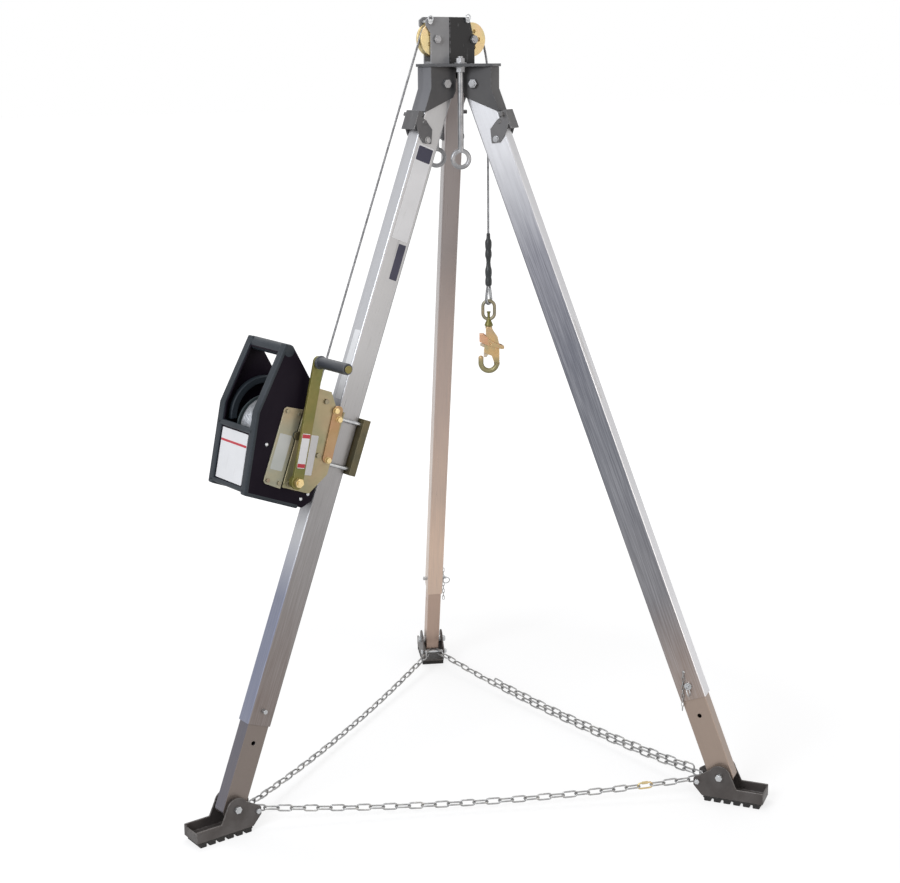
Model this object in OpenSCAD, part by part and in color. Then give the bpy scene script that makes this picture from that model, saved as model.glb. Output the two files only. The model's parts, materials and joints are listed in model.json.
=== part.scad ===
// Rescue tripod with telescoping legs, a two-sheave head, a leg winch and a load hook.
// Millimetres, +Z up. The origin is on the floor, in the middle of the footprint's bounding box.
// Leg 1 carries the winch and points along -X. Legs 2 and 3 follow at 120 degrees, anticlockwise from above.
// In a leg's own frame x points out of the leg's front face, y along its pivot bolt and z up the tube.

/* [Legs] */
// Tilt of each leg from the vertical
leg_tilt = 20.8; // [18:0.1:23]
// Distance of the leg pivots from the tripod's axis
pivot_r = 62; // [61:1:72]
// Leg pivot to foot pivot, along the leg
leg_len = 2027; // [1980:1:2120]
// Outer tube, from the leg pivot down to its lower end
outer_len = 1802; // [1760:1:1820]
// Outer tube, from the leg pivot up to its top
tube_top = 28; // [24:1:30]
// Depth of the outer tube, front to back
outer_d = 75; // [70:1:78]
// Width of the outer tube
outer_w = 50; // [48:1:54]
// Wall of both tubes
tube_wall = 3.2; // [2.5:0.1:4]
// Corner radius of the outer tube
tube_corner = 5; // [4.5:0.1:6]
// Inner tube, from the foot pivot up to its top
inner_len = 1270; // [1220:1:1300]
// Inner tube, from the foot pivot down to its end
inner_tail = 28; // [24:1:30]
// Height of the lock pin above the outer tube's lower end
lock_rise = 40; // [36:1:46]
// Distance between the holes for the lock pin
hole_pitch = 90; // [90:1:95]
// Diameter of the lock pin
lock_d = 12; // [10:0.5:14]
// Diameter of the leg pivot bolt
pivot_bolt_d = 16; // [12:0.5:18]

/* [Latches] */
// Leg pivot to the latch bolt, along the leg
latch_s = 164; // [160:1:172]
// Sheet thickness of the latch
latch_t = 4; // [3:0.5:5]
// Diameter of the latch bolt
latch_bolt_d = 10; // [8:0.5:12]

/* [Head] */
// Reach of the head plate's arms from the axis
plate_r = 118; // [116:1:124]
// Width of the head plate's arms
plate_arm_w = 64; // [62:1:68]
// Thickness of the head plate
plate_t = 8; // [6:0.5:12]
// Leg pivots to the head plate's underside
pivot_drop = 46; // [44:1:52]
// Sheet thickness of the leg brackets
sheet = 5; // [4:0.5:6]
// Distance of a bracket's outer web from the axis
web_r = 108; // [107:1:112]
// Leg pivot to the bracket's lower end, along the leg
flare_s = 95; // [90:1:97]
// Distance of the eyebolts from the axis
eye_r = 65; // [63:1:67]
// Head plate's underside to the middle of an eye
eye_drop = 251; // [245:1:280]
// Bore of an eye
eye_bore = 34; // [30:1:36]

/* [Pulleys] */
// Radius of the rope's centre on a sheave
sheave_r = 41; // [38:0.5:42]
// Width of a sheave
sheave_w = 24; // [22:1:28]
// Head plate's top to the sheave axles
sheave_h = 66; // [62:1:70]
// Position of the winch-side sheave
winch_sheave_x = -84; // [-88:1:-82]
// Position of the load-side sheave
load_sheave_x = 44; // [42:1:48]
// Diameter of the sheave axles
axle_d = 16; // [12:0.5:18]
// Height of the sheave brackets
frame_h = 126; // [124:1:132]
// Diameter of the wire rope
rope_d = 6.4; // [5:0.1:6.6]

/* [Winch] */
// Leg pivot to the drum's axis, along the leg
drum_s = 1030; // [1000:1:1060]
// Radius of the rope's centre on the drum
wind_r = 62; // [58:0.5:64]
// Turns of rope in the outer layer
wind_turns = 14; // [8:1:14]
// Radius of the drum's flanges
flange_r = 84; // [76:1:86]
// Near side of the housing, measured from the leg's middle
housing_near = 52; // [50:1:58]
// Far side of the housing, measured from the leg's middle
housing_far = 140; // [136:1:150]
// Wall of the housing
housing_wall = 6; // [5:0.5:7]
// Module of the winch gears
gear_module = 4; // [3.9:0.05:4]
// Throw of the crank
crank_throw = 320; // [260:1:340]
// Length of the crank grip
grip_len = 130; // [110:1:150]
// Diameter of the crank grip
grip_d = 30; // [26:1:36]

/* [Hook] */
// Distance of the hanging rope from the axis
load_x = 108; // [106:1:112]
// Head plate's underside to the top of the rope's sleeve
line_drop = 470; // [430:1:560]
// Length of the sleeve
sleeve_len = 152; // [130:1:180]
// Inner radius of the hook's bowl
bowl_r = 15.5; // [14.5:0.5:16]
// Diameter of the hook's stock
stock_d = 15; // [14:0.5:16]
// Turn of the hook about the rope
hook_turn = -37.6; // [-90:0.1:90]

/* [Feet] */
// Height of the foot pivots
foot_pivot_h = 76; // [74:1:84]
// Diameter of the foot pivot bolt
foot_bolt_d = 12; // [10:0.5:14]
// Width over a foot's cheeks
shoe_w = 72; // [70:1:78]
// Foot pivot to the toe
toe_x = 122; // [110:1:130]
// Thickness of a rubber sole with its cleats
sole_t = 14; // [12:0.5:16]
// Cleats on a sole
cleats = 6; // [4:1:8]

/* [Chain] */
// Length from link to link, as near as the span allows
link_pitch = 35; // [34:0.5:38]
// Diameter of the chain's wire
wire_d = 4.8; // [4.5:0.1:5.2]
// Inner width of a link
link_w = 11; // [11:0.1:12]
// Sag of a span at its middle
chain_sag = 28; // [15:1:30]
// Foot pivot to the chain rod, inward
heel_x = 62; // [60:1:66]
// Foot pivot to the chain rod, downward
heel_z = 22; // [20:1:24]

/* [Fits] */
// Clearance of a bolt or shaft in its bore, on the radius
running_fit = 0.05; // [0.03:0.01:0.1]
// Gap between faces that move past each other
slide_gap = 0.4; // [0.3:0.05:0.6]

/* [Hidden] */
$fn = 48;
legs = [1, 2, 3];

// Play of a bolt in its hole, of a seated shaft, and round a passing shaft, on the diameter
bolt_play = 0.4;
seat_play = 0.2;
pass_play = 2;
// Gap under a head that does not clamp, and the reach of a cut past the face that it opens
head_gap = 0.3;
over = 1;
// Width of a bolt head across its corners, in bolt diameters
head_ratio = 1.6;

// Heights and radii that follow from the leg
pivot_z = foot_pivot_h + leg_len * cos(leg_tilt);
foot_r = pivot_r + leg_len * sin(leg_tilt);
plate_z = pivot_z + pivot_drop;
head_z = plate_z + plate_t;
toe_r = foot_r + toe_x;
axis_x = (toe_r - toe_r * cos(60) - shoe_w / 2 * sin(60)) / 2;

// Tubes
inner_d = outer_d - 2 * tube_wall - 2 * slide_gap;
inner_w = outer_w - 2 * tube_wall - 2 * slide_gap;
inner_blunt = 1.2;
inner_corner = tube_corner - tube_wall - slide_gap + inner_blunt;
bore_corner = 0.6;
lock_s = outer_len - lock_rise;
lock_holes = 8;
lanyard_rise = 40;
lanyard_s = lock_s - lanyard_rise;
lanyard_links = 9;
lanyard_pitch = 12;
lanyard_len = 12.5;
lanyard_w = 4.4;
lanyard_wire = 1.9;
lanyard_top = 7;
lanyard_out = 5;
stud_d = 9;
stud_h = 3;
stud_eye_d = 2;
stud_eye_h = 6;
inner_round = 20;
pin_collar_d = 20;
pin_collar_t = 6;
pin_knob_d = 8;
pin_knob_len = 10;
pin_end = 12;
pin_ring_r = 12;
pin_ring_wire = 3;

// Bracket, in its radial frame about the leg pivot
cheek_gap = 1;
cheek_y = outer_w / 2 + cheek_gap;
bracket_y = cheek_y + sheet;
flare_n = outer_d / 2 + slide_gap;
web_x = web_r - pivot_r;
bracket_r = 28;
bracket_in = bracket_r - pivot_r;
cheek_in_drop = 20;
cheek_toe_x = 25;
cheek_toe_drop = 38;
pivot_head_h = 9;
pivot_nut_h = 11;
pivot_end = 3;

// Latch, in its leg's frame
latch_n = 6;
latch_y = outer_w / 2 + slide_gap;
latch_head_h = 6;
hood_off = 6.5;
hood_n = outer_d / 2 + hood_off;
hood_gap = 2.5;
hood_s = flare_s + hood_gap;
hood_depth = 16;
hood_h = 34;
hood_apron = 54;
hood_lip = 14;
yoke_shoulder_x = 28;
yoke_shoulder = 18;
yoke_waist = 32;
yoke_front = 8;
yoke_back = 16;
yoke_toe = 12;
yoke_heel = 6;
yoke_nose = 4;
rivet_d = 12;
rivet_h = 3;
rivet_in = 12;
rivet_drop = 24;
wing_x = 2;
wing_depth = 8;
wing_reach = 18;
wing_h = 10;

// Sheaves and rope over the head
rim_over = 5.5;
sheave_rim = sheave_r + rim_over;
sheave_gap = 1;
sheave_y = sheave_w / 2 + sheave_gap;
groove_out = 8;
sheave_holes = 5;
sheave_hole_r = 23;
sheave_hole_d = 11;
frame_t = 5;
frame_y = sheave_y + frame_t;
winch_foot_x = -102;
winch_frame_x = -40;
load_frame_x = -38;
load_foot_x = 48;
load_neck_x = 42;
load_top_x = 30;
frame_base_t = 6;
frame_lip = 10;
frame_chamfer = 8;
frame_shoulder = 16;
axle_lug = 12;
axle_head_ratio = 1.5;
axle_nut_h = 8;
axle_end = 2;
keeper_d = 8;
keeper_gap = 1.5;
keeper_head_d = 14;
keeper_head_h = 6;
keeper_wire = 3;
winch_keeper_lean = 27;
load_keeper_lean = 24;
load_keeper_off = 4;
keeper_reach = sheave_rim + keeper_d / 2 + keeper_gap;
load_reach = keeper_reach + load_keeper_off;
winch_keeper = [
    winch_sheave_x - keeper_reach * sin(winch_keeper_lean), sheave_h + keeper_reach * cos(winch_keeper_lean)
];
load_keeper = [
    load_sheave_x - load_reach * sin(load_keeper_lean), sheave_h + load_reach * cos(load_keeper_lean)
];
bow_angle = 25;
bow_steps = 12;
bow_start_x = load_sheave_x + sheave_r * cos(bow_angle);
bow_start_z = sheave_h + sheave_r * sin(bow_angle);
bow_r = (load_x - bow_start_x) / (1 - cos(bow_angle));
bow_end_z = bow_start_z - bow_r * sin(bow_angle);
head_rope_sides = 12;
arc_step = 8;
function arc_points(x, z, r, a0, a1) =
    let (n = ceil(r * abs(a1 - a0) * PI / 180 / arc_step))
    [for (k = [0 : n]) let (a = a0 + (a1 - a0) * k / n) [x + r * cos(a), 0, z + r * sin(a)]];
head_path = concat(
    arc_points(winch_sheave_x, sheave_h, sheave_r, 180 - leg_tilt, 90),
    arc_points(load_sheave_x, sheave_h, sheave_r, 90, bow_angle),
    [for (k = [1 : bow_steps]) let (a = bow_angle * (1 - k / bow_steps))
        [load_x - bow_r + bow_r * cos(a), 0, bow_end_z + bow_r * sin(a)]]
);

// Eyebolts: their places round the axis and the direction that both eyes face
washer_d = 34;
washer_t = 3;
nut_d = 26;
nut_h = 12;
eye_shank_d = 16;
eye_thread = 20;
eye_wire = 12;
eye_core = 8;
eye_flat = 5;
eye_angles = [-120, 120];
eye_face = 60;

// Rope on the winch leg: the line that touches the sheave, parallel to the leg
rope_n = ((-winch_sheave_x - pivot_r) * cos(leg_tilt)
    + (pivot_drop + plate_t + sheave_h) * sin(leg_tilt) + sheave_r);
rope_top_s = ((-winch_sheave_x - pivot_r) * sin(leg_tilt)
    - (pivot_drop + plate_t + sheave_h) * cos(leg_tilt));

// Winch, in the drum's frame on leg 1
drum_n = rope_n + wind_r;
leg_face = outer_d / 2 - drum_n;
leg_back = -outer_d / 2 - drum_n;
wind_steps = 24;
wind_sides = 6;
wind_seat = 0.3;
wind_gap_y = 0.6;
core_r = wind_r * cos(180 / wind_steps) - rope_d / 2 - wind_seat;
wind_pitch = rope_d + wind_gap_y;
wind_y = 0;
wind_end_y = wind_y - wind_turns * wind_pitch;
flange_t = 6;
flange_near = wind_y + rope_d;
flange_far = wind_end_y - rope_d;
side_wall = 8;
drum_shaft_d = 20;
gear_teeth = 48;
pinion_teeth = 12;
gear_y = 20;
gear_w = 14;
gear_hub_d = 60;
pinion_over = 2;
gear_reach = gear_module * (gear_teeth + pinion_teeth) / 2;
crank_lean = 13.3;
crank_x = -gear_reach * sin(crank_lean);
crank_z = -gear_reach * cos(crank_lean);
mesh_angle = atan2(crank_z, crank_x);
crank_shaft_d = 16;
crank_rest = 7.4;
crank_nut_d = 26;
crank_nut_h = 10;
crank_end = 14;
bracket_plate_t = 5;
bracket_plate_y = housing_near + bracket_plate_t;
plate_top = 135;
plate_low = -140;
plate_edge = -2;
plate_step = 36;
plate_brow = 60;
plate_foot = 40;
plate_lug_top = 40;
plate_lug_low = -80;
plate_slope = 30;
flange_top = 92;
flange_low = -72;
flange_edge = 12;
cover_t = 4;
cover_x = 2;
cover_far = 58;
cover_top = 70;
cover_low = -145;
cover_cut = 6;
cover_slope = 4;
cover_bolt_d = 12;
cover_bolt_in = 10;
cover_bolt_h = 5;
winch_bolt_d = 15;
winch_bolt_h = 6;
winch_bolt_in = 14;
winch_bolt_deep = 60;
winch_bolt_back = 82;
winch_bolt_drop = 36;
arm_y = 76;
arm_t = 8;
arm_w = 32;
hub_d = 34;
hub_gap = 8;
arm_boss = 6;
grip_gap = 3;
grip_y = arm_y + arm_t + grip_gap;
grip_pin_d = 12;
grip_cap_d = 20;
grip_cap_t = 3;
grip_cap_gap = 1;
grip_collar = 6;
clamp_off = 8.5;
clamp_y = outer_w / 2 + clamp_off;
clamp_s = [72, -52];
clamp_bolt_d = 10;
clamp_head_d = 17;
clamp_head_h = 6;
clamp_nut_h = 9;
clamp_end = 6;
bar_depth = 22;
bar_wall = 5;
bar_rim = 10;
bar_over = 16;
housing_rim = 18;
window_x = 60;
window_low = -14;
window_top = 194;
hand_x = 0;
hand_low = 118;
hand_far = 90;
carry_x = 90;
carry_z = 206;
carry_d = 30;
rope_hole_d = 24;
rope_hole_low = 40;
rope_hole_h = 120;
rope_start = 31;
housing_profile = [
    [-108, 55], [84, 222], [104, 216], [130, 32], [96, -179], [-84, -181], [-108, -158]
];

// Load line, measured from the sleeve's top
sleeve_z = plate_z - line_drop;
sleeve_d = 15;
ferrule_d = 20;
ferrule_len = 24;
ferrule_in = 6;
eye_neck = 20;
eye_neck_d = 11;
thimble_r = 14;
thimble_wire = 7;
thimble_z = -sleeve_len - eye_neck - thimble_wire / 2 - thimble_r;
oval_len = 44;
oval_w = 24;
oval_wire = 9.5;
oval_top = thimble_z - thimble_r + thimble_wire / 2 + slide_gap;
oval_z = oval_top - oval_len / 2;
stud_top = 18;
swivel_stud_d = 8;
swivel_cap_d = 12;
swivel_cap_h = 4;
barrel_d = 24;
barrel_h = 20;
barrel_drop = 15;
barrel_floor = 6;
disc_d = 17;
disc_t = 6;
disc_gap = 1;
neck_pin_d = 12;
swivel_low = oval_z - oval_len / 2 - oval_wire - barrel_drop;

// Hook, with its bowl under the rope and its spine on the x side
stock_r = bowl_r + stock_d / 2;
hook_back = stock_r + stock_d / 2;
hook_drop = 108;
bowl_z = swivel_low - hook_drop;
nose_h = 14;
body_y = 8.5;
collar_d = 20;
collar_h = 5;
neck_half = 8.5;
shoulder_h = 16;
jaw_h = 22;
gate_rise = 44;
gate_pin = [-4, bowl_z + gate_rise];
gate_d = 9;
gate_hub_d = 13;
gate_y = 4.6;
tab_in = 13;
tab_out = 21;
tab_rise = 13;
tab_h = 6;
gate_slot_y = 5;
gate_slot_x = 8;
gate_slot_h = 40;
gate_end = 18;
gate_tip = [-bowl_r + gate_d / 2 + slide_gap, bowl_z + gate_end];
lever_rise = 58;
lever_pin = [4, bowl_z + lever_rise];
lever_pin_d = 6;
lever_t = 3;
lever_gap = 0.6;
lever_y = body_y + lever_gap;
thumb_x = -31;
thumb_w = 11;
thumb_low = 5;
thumb_h = 23;
knob_x = 36;
knob_z = -12;
knob_d = 9;

// Feet, in the foot pivot's frame
shoe_t = 5;
shoe_in = shoe_w / 2 - shoe_t;
floor_z = sole_t - foot_pivot_h;
ear_out = 11;
ear_low = 12;
ear_high = 13;
ear_cut = 6;
ear_top = 8;
heel_end = heel_x + ear_out;
floor_in = 14;
floor_x = heel_x - floor_in;
rim_h = 32;
rim_x = 48;
lip_drop = 6;
shoe_round = 31;
shoe_neck_x = 26;
shoe_neck_z = 16;
sole_base = 5;
sole_in = 3;
sole_front = 4;
cleat_in = 3;
cleat_gap = 8;
foot_head_ratio = 1.7;
foot_head_h = 8;
foot_nut_h = 10;
foot_end = 2;
spacer_d = 24;
rod_head_d = 15;
rod_head_h = 6;
rod_nut_h = 7;
chain_rod_d = 8;
chain_y = 12;

// Chain spans
lug_r = foot_r - heel_x;
span = 2 * (lug_r * sin(60) - chain_y * cos(60));
link_gap = 0.6;
links = 2 * floor((span / link_pitch - 1) / 2) + 1;
pitch = (span - link_gap + link_w) / links;
link_len = pitch + link_gap;
tail_links = 7;
tail_rise = link_w + 2 * wire_d + link_gap;
coupler_at = 4;
coupler_nut_d = 9;
coupler_nut_len = 16;

// Frames

module at_axis() translate([axis_x, 0, 0]) children();

module at_head() at_axis() translate([0, 0, head_z]) children();

module at_bracket(i)
    at_axis() rotate(120 * i + 60) translate([pivot_r, 0, pivot_z]) children();

module at_leg(i) at_bracket(i) rotate([0, -leg_tilt, 0]) children();

module at_foot(i)
    at_axis() rotate(120 * i + 60) translate([foot_r, 0, foot_pivot_h]) children();

module at_drum() at_leg(1) translate([drum_n, 0, -drum_s]) children();

module at_crank() at_drum() translate([crank_x, 0, crank_z]) children();

module at_hook() at_axis() translate([load_x, 0, sleeve_z]) rotate(hook_turn) children();

// The chain's frame at a foot: x runs along the span to the next leg on that side
module at_chain(i, side)
    at_foot(i) translate([-heel_x, side * chain_y, -heel_z]) rotate(180 - 30 * side) children();

// Shared shapes

// Extrudes an outline of x and z along y, from y0 to y1
module across(y0, y1) translate([0, y1, 0]) rotate([90, 0, 0]) linear_extrude(y1 - y0) children();

// A round bar along y
module rod(x, z, d, y0, y1) translate([x, y1, z]) rotate([90, 0, 0]) cylinder(d = d, h = y1 - y0);

// A six-sided head or nut along y
module hex(x, z, d, y0, y1)
    translate([x, y1, z]) rotate([90, 0, 0]) cylinder(d = d, h = y1 - y0, $fn = 6);

module rounded_rect(dx, dy, r) {
    square([dx - 2 * r, dy], center = true);
    square([dx, dy - 2 * r], center = true);
    for (x = [-1, 1], y = [-1, 1]) translate([x * (dx / 2 - r), y * (dy / 2 - r)]) circle(r);
}

module tube(depth, width, corner, s0, s1)
    translate([0, 0, -s1]) linear_extrude(s1 - s0) difference() {
        rounded_rect(depth, width, corner);
        rounded_rect(depth - 2 * tube_wall, width - 2 * tube_wall, max(bore_corner, corner - tube_wall));
    }

// A whole ring of round wire in the xz plane
module ring(r, wire) rotate([90, 0, 0]) rotate_extrude() translate([r, 0]) circle(d = wire);

// Part of such a ring, from angle a0 on, measured from x towards z
module arc(r, wire, a0, turn)
    rotate([90, 0, 0]) rotate(a0) rotate_extrude(angle = turn) translate([r, 0]) circle(d = wire);

// One chain link, long along x and flat in the xy plane
module link(inner_len, inner_w, wire) {
    bend = (inner_w + wire) / 2;
    straight = inner_len - inner_w;
    for (e = [-1, 1]) {
        translate([e * straight / 2, 0, 0]) rotate(-90 * e)
            rotate_extrude(angle = 180) translate([bend, 0]) circle(d = wire);
        translate([-straight / 2, e * bend, 0]) rotate([0, 90, 0]) cylinder(d = wire, h = straight);
    }
}

// A point of a leg in its bracket's frame: n out of the front face, s down the tube
function leg_xz(n, s) = [
    n * cos(leg_tilt) + s * sin(leg_tilt),
    n * sin(leg_tilt) - s * cos(leg_tilt)
];

// An outline moved inwards by d, edge by edge; the outline runs clockwise
function edge_in(p, q, d) =
    let (u = (q - p) / norm(q - p)) [p + d * [u[1], -u[0]], u];
function cross_at(e, f) =
    let (w = f[0] - e[0], k = cross(w, f[1]) / cross(e[1], f[1])) e[0] + k * e[1];
function inset(pts, d) =
    let (n = len(pts), edges = [for (k = [0 : n - 1]) edge_in(pts[k], pts[(k + 1) % n], d)])
    [for (k = [0 : n - 1]) cross_at(edges[(k + n - 1) % n], edges[k])];

// Head

module head_plate() color("dimgray") at_head() translate([0, 0, -plate_t]) difference() {
    linear_extrude(plate_t) polygon([
        for (i = legs, e = [-1, 1]) let (a = 120 * i + 60, y = e * plate_arm_w / 2)
            [plate_r * cos(a) - y * sin(a), plate_r * sin(a) + y * cos(a)]
    ]);
    for (a = eye_angles) rotate(a) translate([eye_r, 0, -over])
        cylinder(d = eye_shank_d + bolt_play, h = plate_t + 2 * over);
}

// Where the bracket's upright web meets its flare, d outside their inner faces
function flare_corner(d) =
    let (n = flare_n + d, along = (web_x + d - n * cos(leg_tilt)) / sin(leg_tilt)) leg_xz(n, along);

module bracket_outline() polygon([
    [bracket_in, pivot_drop], [web_x + sheet, pivot_drop], flare_corner(sheet),
    leg_xz(flare_n + sheet, flare_s), leg_xz(flare_n, flare_s),
    [-cheek_toe_x, -cheek_toe_drop], [bracket_in, -cheek_in_drop]
]);

module bracket_hollow() polygon([
    [-2 * pivot_r, pivot_drop + over], [web_x, pivot_drop + over], flare_corner(0),
    leg_xz(flare_n, flare_s + outer_d), [-2 * pivot_r, -flare_s]
]);

module leg_brackets() color("dimgray") for (i = legs) at_bracket(i) difference() {
    across(-bracket_y, bracket_y) bracket_outline();
    across(-cheek_y, cheek_y) bracket_hollow();
    rod(0, 0, pivot_bolt_d + bolt_play, -bracket_y - over, bracket_y + over);
}

module pivot_bolts() color("goldenrod") for (i = legs) at_bracket(i) {
    rod(0, 0, pivot_bolt_d, -bracket_y - pivot_nut_h - pivot_end, bracket_y);
    hex(0, 0, head_ratio * pivot_bolt_d, bracket_y, bracket_y + pivot_head_h);
    hex(0, 0, head_ratio * pivot_bolt_d, -bracket_y - pivot_nut_h, -bracket_y);
}

module frame_cheek_winch() polygon([
    [winch_foot_x, 0], [winch_frame_x, 0], [winch_frame_x, frame_h],
    [winch_keeper[0] + frame_lip - frame_chamfer, frame_h],
    [winch_keeper[0] - frame_lip, frame_h - frame_chamfer],
    [winch_keeper[0] - frame_lip, winch_keeper[1] - frame_lip], [winch_foot_x, sheave_h + frame_shoulder]
]);

module frame_cheek_load() polygon([
    [load_frame_x, 0], [load_foot_x, 0], [load_foot_x, sheave_h - frame_lip - frame_chamfer],
    [load_sheave_x + axle_lug, sheave_h - frame_lip], [load_sheave_x + axle_lug, sheave_h + frame_chamfer],
    [load_neck_x, sheave_h + frame_shoulder], [load_top_x, frame_h], [load_frame_x, frame_h]
]);

module sheave_brackets() color("slategray") at_head() difference() {
    union() {
        for (e = [0, 1]) mirror([0, e, 0]) {
            across(sheave_y, frame_y) frame_cheek_winch();
            across(sheave_y, frame_y) frame_cheek_load();
        }
        translate([winch_foot_x, -frame_y, 0])
            cube([winch_frame_x - winch_foot_x, 2 * frame_y, frame_base_t]);
        translate([load_frame_x, -frame_y, 0]) cube([load_foot_x - load_frame_x, 2 * frame_y, frame_base_t]);
    }
    for (x = [winch_sheave_x, load_sheave_x])
        rod(x, sheave_h, axle_d + seat_play, -frame_y - over, frame_y + over);
    for (p = [winch_keeper, load_keeper])
        rod(p[0], p[1], keeper_d + bolt_play, -frame_y - over, frame_y + over);
}

module sheave_axles() color("goldenrod") at_head() for (x = [winch_sheave_x, load_sheave_x]) {
    rod(x, sheave_h, axle_d, -frame_y - axle_nut_h - axle_end, frame_y);
    hex(x, sheave_h, axle_head_ratio * axle_d, frame_y, frame_y + axle_nut_h);
    hex(x, sheave_h, axle_head_ratio * axle_d, -frame_y - axle_nut_h, -frame_y);
}

module keeper_pins() color("silver") at_head() for (p = [winch_keeper, load_keeper]) {
    rod(p[0], p[1], keeper_d, -frame_y - keeper_head_h, frame_y + keeper_head_h);
    rod(p[0], p[1], keeper_head_d, -frame_y - keeper_head_h, -frame_y);
    translate([p[0], -frame_y - keeper_head_h, p[1] + keeper_d]) ring(keeper_d, keeper_wire);
}

// A washer and a nut on the head plate
module plate_nut() difference() {
    union() {
        cylinder(d = washer_d, h = washer_t);
        translate([0, 0, washer_t]) cylinder(d = nut_d, h = nut_h, $fn = 6);
    }
    translate([0, 0, -over]) cylinder(d = eye_shank_d + seat_play, h = washer_t + nut_h + 2 * over);
}

module eyebolts() color("goldenrod") at_head() for (a = eye_angles) rotate(a) translate([eye_r, 0, 0]) {
    ring_z = -plate_t - eye_drop;
    shank_low = (eye_bore + eye_core / 2) / 2;
    translate([0, 0, ring_z]) rotate(eye_face - a - 90) difference() {
        union() {
            ring((eye_bore + eye_wire) / 2, eye_wire);
            rod(0, 0, eye_bore + eye_core, -eye_flat, eye_flat);
            translate([0, 0, shank_low]) cylinder(d = eye_shank_d, h = eye_thread - ring_z - shank_low);
        }
        rod(0, 0, eye_bore, -eye_wire, eye_wire);
    }
    plate_nut();
    translate([0, 0, -plate_t]) mirror([0, 0, 1]) plate_nut();
}

module sheave(x) at_head() translate([x, sheave_w / 2, sheave_h]) rotate([90, 0, 0]) difference() {
    groove = rope_d / 2 + slide_gap;
    cylinder(r = sheave_rim, h = sheave_w);
    translate([0, 0, -over]) cylinder(d = axle_d + 2 * running_fit, h = sheave_w + 2 * over);
    translate([0, 0, sheave_w / 2]) rotate_extrude() translate([sheave_r, 0]) {
        circle(groove);
        polygon([[0, -groove], [0, groove], [groove_out, groove_out], [groove_out, -groove_out]]);
    }
    for (k = [0 : sheave_holes - 1]) rotate(360 * k / sheave_holes) translate([sheave_hole_r, 0, -over])
        cylinder(d = sheave_hole_d, h = sheave_w + 2 * over);
}

module winch_sheave() color("goldenrod") sheave(winch_sheave_x);

module load_sheave() color("goldenrod") sheave(load_sheave_x);

module head_rope() color("silver") at_head() swept(head_path, rope_d / 2, head_rope_sides);

// Legs

module outer_leg(i) color("lightgray") at_leg(i) difference() {
    tube(outer_d, outer_w, tube_corner, -tube_top, outer_len);
    rod(0, 0, pivot_bolt_d + 2 * running_fit, -outer_w, outer_w);
    rod(latch_n, -latch_s, latch_bolt_d + 2 * running_fit, -outer_w, outer_w);
    rod(0, -lock_s, lock_d + 2 * running_fit, -outer_w, outer_w);
}

module lanyard() translate([0, -outer_w / 2 - lanyard_out, -lanyard_s]) rotate([0, leg_tilt, 0])
    for (k = [0 : lanyard_links - 1]) translate([0, 0, -lanyard_top - lanyard_pitch * k])
        rotate([0, 90, 0]) rotate([90 * (k % 2), 0, 0]) link(lanyard_len, lanyard_w, lanyard_wire);

module leg_fittings(i) color("goldenrod") at_leg(i) {
    seat = latch_y + latch_t;
    rod(latch_n, -latch_s, latch_bolt_d, -seat - latch_head_h / 2, seat + latch_head_h / 2);
    for (e = [0, 1]) mirror([0, e, 0])
        hex(latch_n, -latch_s, head_ratio * latch_bolt_d, seat + head_gap, seat + latch_head_h);
    rod(0, -lanyard_s, stud_d, -outer_w / 2 - stud_h, -outer_w / 2);
    rod(0, -lanyard_s, stud_eye_d, -outer_w / 2 - stud_h - stud_eye_h, -outer_w / 2 - stud_h);
    lanyard();
}

module latch(i) color("gray") at_leg(i) difference() {
    outer_n = hood_n + hood_depth;
    outer_y = latch_y + latch_t;
    union() {
        for (e = [0, 1]) mirror([0, e, 0]) {
            across(latch_y, outer_y) polygon([
                [outer_n, -hood_s], [outer_n, -hood_s - hood_h], [outer_d / 2, yoke_nose - latch_s],
                [latch_n + yoke_front, -latch_s - yoke_toe], [latch_n - yoke_back, -latch_s - yoke_heel],
                [0, yoke_waist - latch_s], [yoke_shoulder_x, -hood_s - yoke_shoulder],
                [hood_n, -hood_s - hood_lip], [hood_n, -hood_s]
            ]);
            rod(hood_n - rivet_in, -hood_s - rivet_drop, rivet_d, outer_y, outer_y + rivet_h);
        }
        translate([outer_n - latch_t, -outer_y, -hood_s - hood_apron])
            cube([latch_t, 2 * outer_y, hood_apron]);
        translate([hood_n, -outer_y, -hood_s - latch_t]) cube([hood_depth, 2 * outer_y, latch_t]);
        translate([hood_n + wing_x, -outer_y - wing_reach, -hood_s - latch_t - wing_h])
            cube([wing_depth, wing_reach + latch_t / 2, wing_h]);
    }
    rod(latch_n, -latch_s, latch_bolt_d + 2 * running_fit, -outer_w, outer_w);
}

module inner_leg(i) color("tan") at_leg(i) difference() {
    end_s = leg_len + inner_tail;
    flat = inner_d - 2 * inner_round;
    intersection() {
        tube(inner_d, inner_w, inner_corner, leg_len - inner_len, end_s);
        across(-outer_w, outer_w) {
            translate([-inner_d, -end_s + inner_round]) square([2 * inner_d, end_s]);
            translate([-flat / 2, -end_s]) square([flat, 2 * inner_round]);
            for (e = [-1, 1]) translate([e * flat / 2, -end_s + inner_round]) circle(inner_round);
        }
    }
    rod(0, -leg_len, foot_bolt_d + 2 * running_fit, -outer_w, outer_w);
    for (k = [-1 : lock_holes - 2])
        rod(0, -lock_s + k * hole_pitch, lock_d + 2 * running_fit, -outer_w, outer_w);
}

module lock_pin(i) color("goldenrod") at_leg(i) {
    face = -outer_w / 2 - slide_gap;
    knob = face - pin_collar_t;
    rod(0, -lock_s, lock_d, face - pin_collar_t / 2, outer_w / 2 + pin_end);
    rod(0, -lock_s, pin_collar_d, knob, face);
    rod(0, -lock_s, pin_knob_d, knob - pin_knob_len, knob);
    translate([0, knob - pin_knob_len, -lock_s - pin_ring_r]) rotate(90) ring(pin_ring_r, pin_ring_wire);
}

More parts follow.
